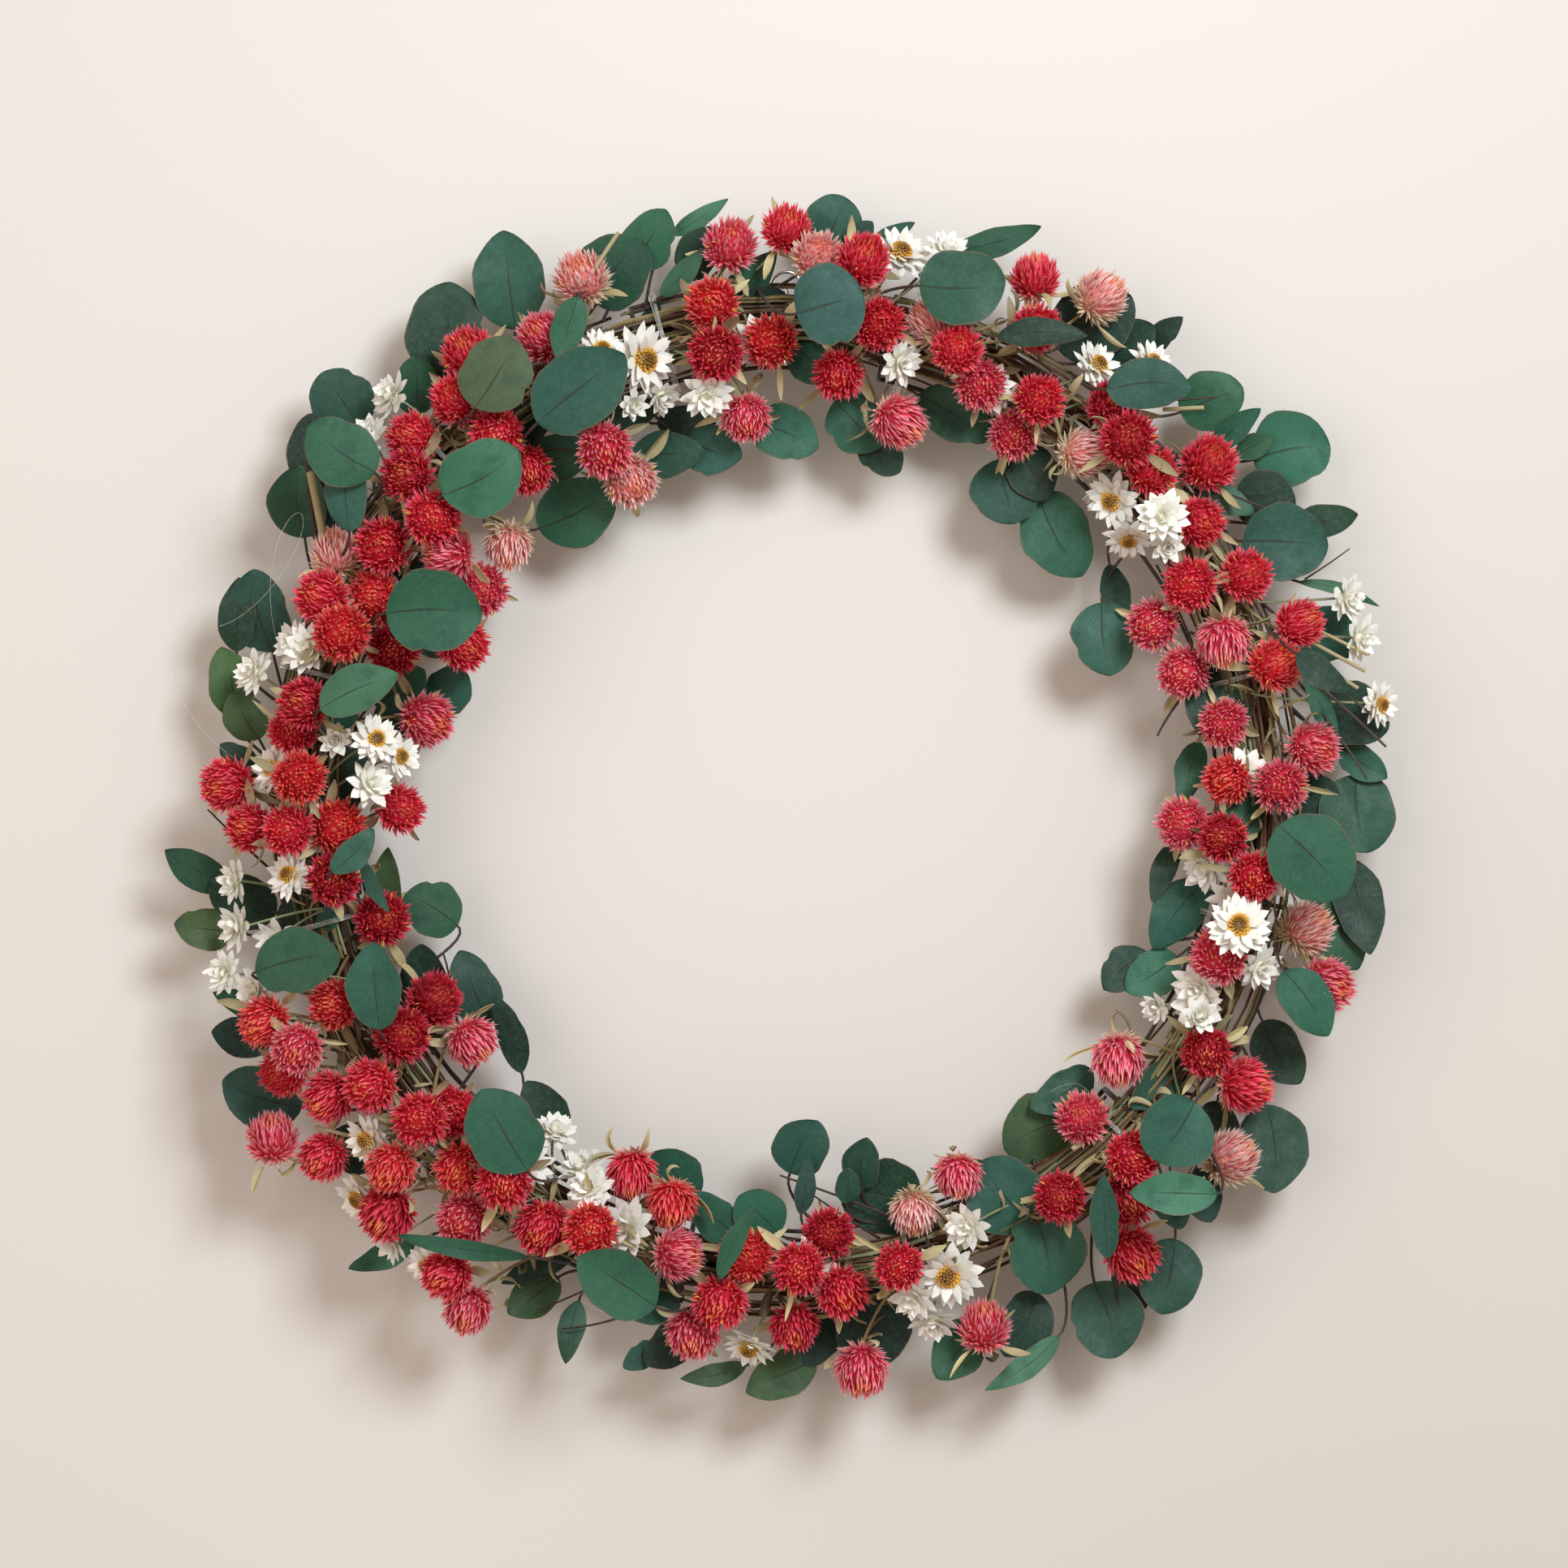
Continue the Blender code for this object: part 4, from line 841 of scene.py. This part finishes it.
def turned(points, facing, scale, centre, spin=0.0):
    """Points with +Z turned to face a way, scaled in mm, and moved to a centre."""
    facing = unit(facing)
    across = unit(np.cross(facing, (math.cos(spin), 0.13, math.sin(spin))))
    axes = np.stack((across, np.cross(facing, across), facing))
    return points @ axes * scale * MM + centre


def set_head(growth, rings, head, facing, radius, centre, spin):
    """Adds a head of blades, turned to face a way."""
    points, tints = head
    points = turned(points, facing, radius, centre, spin)
    growth.add(points.reshape(-1, 3), blade_blocks(rings, len(points)), tints.reshape(-1, 3))


amaranth = Finish("amaranth", {"Roughness": 0.75, "Specular IOR Level": 0.18})
# Fine pale streaks mixed into the colour are painted highlights; the same noise gives the bracts a streaked
# bump.
streaks_and_highlights = amaranth.noise(amaranth.here(), 1500.0, 2.0)
blush = amaranth.noise(amaranth.here(), 130.0, 2.0)
flesh = amaranth.attribute("tint", "Color")
painted_highlight_flesh = amaranth.mix(0.35, flesh, (0.95, 0.50, 0.45, 1))
flesh = amaranth.mix(amaranth.mask(streaks_and_highlights, 0.45, 0.75) * 0.25, flesh, painted_highlight_flesh)
dark_flesh = amaranth.mix(0.5, flesh, (0.16, 0.01, 0.02, 1))
flesh = amaranth.mix(amaranth.mask(blush, 0.45, 0.75) * 0.25, flesh, dark_flesh)
amaranth.feed("Base Color", flesh)
amaranth.feed("Normal", amaranth.bump(streaks_and_highlights, 0.0003, 0.5))

core_points, core_faces = ball(8, 12)
copies = {}
for colour in BRACT_TINTS:
    for copy in range(HEAD_COPIES):
        copies[colour, copy] = amaranth_head(colour, 10 + copy)
for number, title, tie_clock, rng in bunches(500):
    heads = Growth()
    for start_clock, start_out, end_clock, end_out, rise, radius in STUBS:
        if bunch_at(start_clock) == number:
            ends = place((start_clock, end_clock), (start_out, end_out), (rise, rise + 6))
            heads.stem(np.linspace(ends[0], ends[1], 6), radius, np.array(DRY_LEAF) * 0.8, 8)
    for stem in range(BUNDLE_STEMS):
        clocks = np.linspace(tie_clock - rng.uniform(3, 6), tie_clock + rng.uniform(14, 27), 14)
        turns = rng.uniform(20, 140) + rng.uniform(-12, 12) * np.linspace(0, 1, 14)
        reach = BUNDLE_LAY + 0.2 + rng.uniform(-0.9, 0.9) + 0.4 * np.sin(clocks)
        path = round_base(clocks, turns, reach)
        radius = STALK_R * rng.uniform(0.7, 1.1)
        heads.stem(path, radius, varied(STEM_TINTS[stem % len(STEM_TINTS)], rng, 0.7, 1.2), 5)
    for centre, _ in globe_seats[title]:
        clock, out = clock_of(centre)
        named = [name for name, table in HEAD_COLOURS.items() if nearest(table, centre, SAME_HEAD)]
        colour = (["red"] + named)[-1]
        lean = nearest(HEAD_LEANS, centre, SAME_HEAD)
        turn = math.radians(clock)
        push = np.clip(out / 60, -0.6, 0.6) + rng.uniform(-0.12, 0.22)
        facing = (math.sin(turn) * push, -1.0, math.cos(turn) * push)
        facing += rng.uniform(-0.2, 0.2, 3) * (1, 0, 1)
        facing = unit((lean[2], -0.6, lean[3]) if lean else facing)
        radius = HEAD_R * rng.uniform(0.88, 1.04)
        spin = rng.uniform(0, 2 * np.pi)
        points, tints = copies[colour, int(rng.integers(HEAD_COPIES))]
        points = points * (1, 1, rng.uniform(0.94, 1.10))
        set_head(heads, NEEDLE, (points, tints), facing, radius, centre, spin)
        core = turned(core_points, facing, radius * CORE_SHARE, centre)
        # The core ball takes the bract's dark root colour: painted shade seen through the gaps between the
        # bracts.
        heads.add(core, core_faces, BRACT_TINTS[colour][0])
        for leaf_turn in rng.uniform(0, 2 * np.pi) + np.array((0, 2.1, 4.2)):
            way = np.array([[math.cos(leaf_turn), math.sin(leaf_turn), rng.uniform(-0.5, 0.35)]])
            way = unit(turned(way, facing, 1 / MM, 0, spin)[0])
            root = centre + (way * 0.45 - facing * 0.68) * radius * MM
            length, width = rng.uniform(12, 22), rng.uniform(2.4, 5.5)
            curl, fold = rng.uniform(-1.2, 1.8), rng.uniform(0.2, 1.0)
            points, faces = strip(root, way, facing, length, width, curl, fold)
            heads.add(points, faces, varied(DRY_LEAF, rng, 0.55, 1.2))
        start, lift = leaving(clock, tie_clock, BUNDLE_TURN)
        neck = centre - facing * radius * 0.75 * MM
        path = curve((start, lift, neck - facing * 10 * MM, neck), 12)
        heads.stem(path, STALK_R, varied(STRAW, rng, 0.7, 1.5), 5)
        for station in (3, 5, 7, 8, 9, 10):
            way = unit(rng.normal(0, 1, 3) * (1, 0.5, 1) + (0, -0.2, 0))
            length = rng.uniform(10, 22)
            face, width = unit(rng.normal(0, 1, 3)), length * rng.uniform(0.10, 0.26)
            curl, fold = rng.uniform(-2.8, 2.8), rng.uniform(0.1, 1.1)
            points, faces = strip(path[station], way, face, length, width, curl, fold)
            heads.add(points, faces, varied(DRY_LEAF, rng, 0.25, 1.05))
    heads.piece(title + "_globe_amaranth_heads", amaranth, [title + "_globe_amaranth"], "amaranth")

# ---- Winged everlasting ----
# Small flowers whose papery white bracts keep their shape when dry. Some are open round a domed yellow disc,
# some are white stars round a closed bud, and some are buds. The stems are thin, winged and grey green.

PAPER = (0.97, 0.96, 0.92)
PAPER_ROOT = (0.78, 0.76, 0.60)
PAPER_TIP = (0.97, 0.95, 0.90)
DISC_YELLOW = (0.74, 0.38, 0.04)
DISC_TIP = (0.86, 0.52, 0.10)
DISC_BROWN = (0.24, 0.10, 0.02)
DISC_FLORETS = 70
PAPER_DEPTH = 0.014
FLOWER_COPIES = 2
SPRAY_STEMS = 4
SAME_FLOWER = 8.0
WING_GREEN = (0.20, 0.23, 0.12)
CUP_STALK_R = 0.6
FLOWER_SPREAD = 1.15  # papery tips reach past the cup
FLOWER_FORWARD = 5
# Clock angle and out, kind and radius of the flowers that aren't plain stars
FLOWER_KINDS = (
    (13.5, 38, "open", 12.0), (36.5, 27, "open", 10.0), (40, 43, "open", 9.0), (49, -18, "open", 10.5),
    (53, -23, "open", 9.0), (81, 57, "open", 9.0), (107, -8, "open", 12.0), (163, 10, "open", 12.5),
    (184, 34, "open", 10.0), (214.5, -20, "open", 11.0), (218.5, 51, "open", 8.5), (227, 50, "open", 10.0),
    (231, 28, "open", 10.0), (261.5, 11, "open", 9.5), (273.5, 17, "open", 9.5), (277, -36, "open", 9.5),
    (278, -43, "open", 8.5), (339.5, 3, "open", 9.5), (344, -9, "open", 14.0), (9.5, 36, "bud", 8.5),
    (101.5, 4, "bud", 8.0), (119, -4, "bud", 8.5), (119.5, -25, "bud", 7.5), (128, 21, "bud", 7.5),
    (58, -12, "bud", 8.0), (313, 36, "bud", 9.0), (343, -27, "bud", 8.5), (340.5, -27, "bud", 7.0),
    (276, -17, "bud", 7.5), (199.5, -15, "star", 11.5), (98, -30, "star", 10.5), (54.5, -7, "star", 10.0),
    (101.5, -14, "star", 10.0), (116.5, -14, "star", 10.0),
)
# For each kind, its whorls of bracts: how many, degrees from the flower's axis, length and width
WHORLS = {
    "open": ((11, 88, 1.05, 0.46), (11, 74, 1.00, 0.44), (10, 60, 0.86, 0.38)),
    "star": ((8, 86, 1.05, 0.52), (8, 70, 0.96, 0.50), (7, 48, 0.80, 0.46), (6, 16, 0.52, 0.44)),
    "bud": ((8, 66, 0.98, 0.52), (7, 40, 0.84, 0.50), (6, 18, 0.70, 0.48), (4, 8, 0.62, 0.44)),
}


def everlasting_flower(kind, seed):
    """A flower of unit radius that opens towards +Z, as the points and the tints of its blades."""
    rng = np.random.default_rng(seed)
    points, tints = [], []
    for number, (count, spread, length, width) in enumerate(WHORLS[kind]):
        turn = 2 * np.pi * (np.arange(count) + 0.5 * (number % 2)) / count + rng.normal(0, 0.07, count)
        spreads = np.radians(spread + rng.normal(0, 6, count))
        lengths = length * rng.uniform(0.9, 1.06, count)
        radial = np.stack((np.cos(turn), np.sin(turn), np.zeros(count)), -1)
        axis = np.array((0.0, 0.0, 1.0))
        way = radial * np.sin(spreads)[:, None] + axis * np.cos(spreads)[:, None]
        face = axis * np.sin(spreads)[:, None] - radial * np.cos(spreads)[:, None]
        roots = radial * 0.10 + axis * (-0.30 + 0.05 * number)
        tips = roots + way * lengths[:, None]
        widths, bows = width * rng.uniform(0.75, 1.05, count), rng.uniform(-0.10, 0.04, count)
        points.append(blades(PETAL, roots, tips, face, widths, np.full(count, PAPER_DEPTH), bows))
        paper_tints = shaded(PETAL, PAPER_ROOT, PAPER, PAPER_TIP, count)
        tints.append(paper_tints * rng.uniform(0.84, 1.06, (count, 1, 1)))
    if kind == "open":
        count = DISC_FLORETS
        order = np.arange(count)
        height = 1 - 0.85 * (order + 0.5) / count
        out, _ = on_ball(height, order * GOLDEN_TURN)
        hub = np.array((0, 0, -0.22))
        face = np.cross(out, ANY_WAY)
        sizes = np.full(count, 0.11)
        points.append(blades(PETAL, hub + out * 0.26, hub + out * 0.46, face, sizes, sizes, np.zeros(count)))
        disc_tints = shaded(PETAL, DISC_BROWN, DISC_YELLOW, DISC_TIP, count)
        tints.append(toward(disc_tints, DISC_BROWN, np.clip((height - 0.72) / 0.2, 0, 0.85)))
    return np.concatenate(points), np.concatenate(tints)


paper = Finish("everlasting_paper", {"Specular IOR Level": 0.3})
veins = paper.noise(paper.here(), 1300.0, 3.0)
age = paper.noise(paper.here(), 110.0, 2.0)
sheet = paper.attribute("tint", "Color")
sheet = paper.mix(paper.mask(age, 0.50, 0.75) * 0.30, sheet, paper.mix(0.6, sheet, (0.55, 0.46, 0.30, 1)))
sheet = paper.mix(paper.mask(veins, 0.50, 0.75) * 0.14, sheet, (0.42, 0.38, 0.30, 1))
paper.feed("Base Color", sheet)
paper.feed("Roughness", paper.mask(veins, 0.3, 0.7) * 0.2 + 0.5)
paper.feed("Normal", paper.bump(veins, 0.0003, 0.6))

flowers = {}
for kind in WHORLS:
    for copy in range(FLOWER_COPIES):
        flowers[kind, copy] = everlasting_flower(kind, 40 + copy)
for number, title, tie_clock, rng in bunches(700):
    spray = Growth()
    for stem in range(SPRAY_STEMS):
        clocks = np.linspace(tie_clock - rng.uniform(3, 5), tie_clock + rng.uniform(14, 24), 12)
        turns = rng.uniform(98, 122) + rng.uniform(-6, 6) * np.linspace(0, 1, 12)
        path = round_base(clocks, turns, BUNDLE_LAY + rng.uniform(-0.8, 0.8))
        spray.stem(path, CUP_STALK_R, varied(WING_GREEN, rng, 0.8, 1.6), 5)
    for centre, cup_facing in cup_seats[title]:
        clock, out = clock_of(centre)
        entry = nearest(FLOWER_KINDS, centre, SAME_FLOWER)
        kind, radius = (entry[2], entry[3]) if entry else ("star", rng.uniform(8.6, 10.0))
        radius *= FLOWER_SPREAD
        centre = centre - (0, FLOWER_FORWARD * MM, 0)
        facing = unit(cup_facing + rng.uniform(-0.2, 0.2, 3))
        flower = flowers[kind, int(rng.integers(FLOWER_COPIES))]
        set_head(spray, PETAL, flower, facing, radius, centre, rng.uniform(0, 2 * np.pi))
        hub = centre - facing * radius * 0.26 * MM
        spray.add(turned(core_points * (1, 1, 0.8), facing, radius * 0.27, hub), core_faces, PAPER_ROOT)
        neck = centre - facing * radius * 0.42 * MM
        route = (*leaving(clock, tie_clock, 180 - BUNDLE_TURN), neck - facing * 8 * MM, neck)
        spray.stem(curve(route, 12), CUP_STALK_R, varied(WING_GREEN, rng, 0.8, 1.6), 5)
    spray.piece(title + "_everlasting_flowers", paper, [title + "_everlasting"], "everlasting")

# ---- Ties ----
# Each bunch is bound to the base with a few turns of clear nylon line, pulled tight and knotted behind.
# The line springs back where it can, so a loop and a few ends stand off the flowers.

TIE_TURNS = 4
LINE_R = 0.28
TIE_LAY = 23.4
TIE_BACK_LAY = 17.2
LOOSE_R = 0.12
# Loose ends: the number of the tie, from 0, and the clock angle, out and rise of guide points along each
LOOSE_ENDS = (
    (9, ((286, 22, 20), (294, 52, 32), (306, 58, 34), (306, 20, 34), (290, 30, 30), (287, 52, 26))),
    (8, ((272, 20, 16), (276, 52, 20), (279, 72, 20), (284, 74, 18), (287, 66, 16))),
    (0, ((15, 18, 22), (12, 40, 26), (20, 42, 24), (18, 22, 24))),
    (4, ((135, -18, 20), (132, -34, 22), (138, -38, 20))),
    (6, ((195, 18, 18), (198, 36, 22), (204, 34, 20), (202, 22, 20))),
)

nylon = Finish("clear_nylon", {"Base Color": (0.86, 0.87, 0.86, 1), "Transmission Weight": 0.75, "IOR": 1.53})
drag = nylon.noise(nylon.here(), 700.0, 2.0)
nylon.feed("Roughness", nylon.mask(drag, 0.3, 0.8) * 0.15 + 0.08)
nylon.feed("Normal", nylon.bump(drag, 0.0001, 0.3))

for number, title, tie_clock, rng in bunches(900):
    line = Growth()
    turns = np.linspace(-90, -90 + 360 * TIE_TURNS, 36 * TIE_TURNS)
    behind = np.clip((-np.sin(np.radians(turns)) - 0.26) * 1.5, 0, 1)
    reach = TIE_LAY + (TIE_BACK_LAY - TIE_LAY) * behind
    drift = 0.9 * (np.linspace(0, 1, len(turns)) - 0.5) + 0.12 * np.sin(turns / 50)
    line.stem(round_base(tie_clock + drift, turns, reach), LINE_R, (1, 1, 1), 6)
    knot, knot_faces = ball(6, 8)
    end = round_base(tie_clock, -90, TIE_BACK_LAY)
    line.add(knot * MM + end, knot_faces, (1, 1, 1))
    for way in (-1, 1):
        spring = round_base(tie_clock + way, -100, TIE_BACK_LAY + 1)
        cut = round_base(tie_clock + way * 4, -80, TIE_BACK_LAY)
        line.stem(curve((end, spring, cut), 10), LINE_R, (1, 1, 1), 5)
    for tie, guides in LOOSE_ENDS:
        if tie == number:
            clocks, outs, rises = zip(*guides)
            line.stem(curve(place(clocks, outs, rises), 40), LOOSE_R, (1, 1, 1), 5)
    line.piece(title + "_tie_line", nylon, [title + "_tie"], "nylon_line")

# ---- Room ----
# The wreath hangs in front of a pale, warm wall, which stands in for a door. One soft lamp high on the right
# makes the shadows, a wide one on the left fills them, and two behind light the back.

WALL_Y = 0.017
WALL_HALF = 3
wall_mesh = bpy.data.meshes.new("wall")
corners = [(x * WALL_HALF, WALL_Y, z * WALL_HALF) for x, z in ((-1, -1), (1, -1), (1, 1), (-1, 1))]
wall_mesh.from_pydata(corners, [], [(0, 1, 2, 3)])
wall = bpy.data.objects.new("wall", wall_mesh)
bpy.context.scene.collection.objects.link(wall)
plaster = Finish("plaster", {"Roughness": 0.95, "Specular IOR Level": 0.1})
# Painted shade: the wall's colour darkens towards the right and the bottom, shaping how the light falls across
# it.
painted_wall_shade = plaster.mask(plaster.axis(plaster.here(), "X") - plaster.axis(plaster.here(), "Z") * 0.25, -0.1, 0.5)
plaster.feed("Base Color", plaster.mix(painted_wall_shade, (0.775, 0.735, 0.700, 1), (0.685, 0.635, 0.595, 1)))
from_behind = plaster.node("NewGeometry", {}, {}, "Backfacing")
clear = plaster.node("BsdfTransparent", {}, {})
shown = plaster.tree.nodes["Material Output"].inputs["Surface"]
solid_wall = Socket(plaster, plaster.tree.nodes["Principled BSDF"].outputs[0])
plaster.join(shown, plaster.node("MixShader", {}, {0: from_behind, 1: solid_wall, 2: clear}))
wall_mesh.materials.append(plaster.material)
wall.visible_shadow = wall.visible_diffuse = wall.visible_glossy = False


def lamp(name, way, distance, size, power, colour=(1, 1, 1)):
    """A square lamp that shines on the wreath from the side that it is named for."""
    middle = np.array((0, BASE_Y, CENTRE_Z)) * MM
    light = bpy.data.lights.new(name, "AREA")
    light.size, light.energy, light.color = size, power, colour
    made = bpy.data.objects.new(name, light)
    spot = unit(way) * distance + middle
    made.location = spot.tolist()
    made.rotation_euler = Vector(unit(way).tolist()).to_track_quat("Z", "Y").to_euler()
    bpy.context.scene.collection.objects.link(made)


lamp("key", (0.34, -0.84, 0.44), 1.9, 0.60, 28, (0.86, 0.96, 1.0))
lamp("fill", (-0.6, -1.0, 0.1), 3.4, 2.5, 30, (1.0, 0.91, 0.83))
lamp("back_left", (-0.7, 1.0, 0.4), 3.0, 1.5, 30)
lamp("back_right", (0.8, 1.0, 0.1), 3.0, 1.5, 20)
world = bpy.data.worlds.new("room")
world.use_nodes = True
glow = world.node_tree.nodes["Background"].inputs
glow["Color"].default_value = (1.0, 0.84, 0.72, 1)
glow["Strength"].default_value = 0.44
bpy.context.scene.world = world
bpy.context.scene.view_settings.view_transform = "Standard"

# ---- Camera ----
# It looks at the wreath square on, from two metres, and a little above the middle of it.

LENS = 100
SENSOR = 36
VIEW_WIDTH = 0.7156  # at the flowers
FLOWERS_Y = -0.034
camera_data = bpy.data.cameras.new("camera")
camera_data.lens = LENS
camera_data.sensor_width = SENSOR
camera = bpy.data.objects.new("camera", camera_data)
camera.location = (-0.0011, FLOWERS_Y - VIEW_WIDTH * LENS / SENSOR, CENTRE_Z * MM + 0.0070)
camera.rotation_euler = (math.pi / 2, 0, 0)
bpy.context.scene.collection.objects.link(camera)
bpy.context.scene.camera = camera
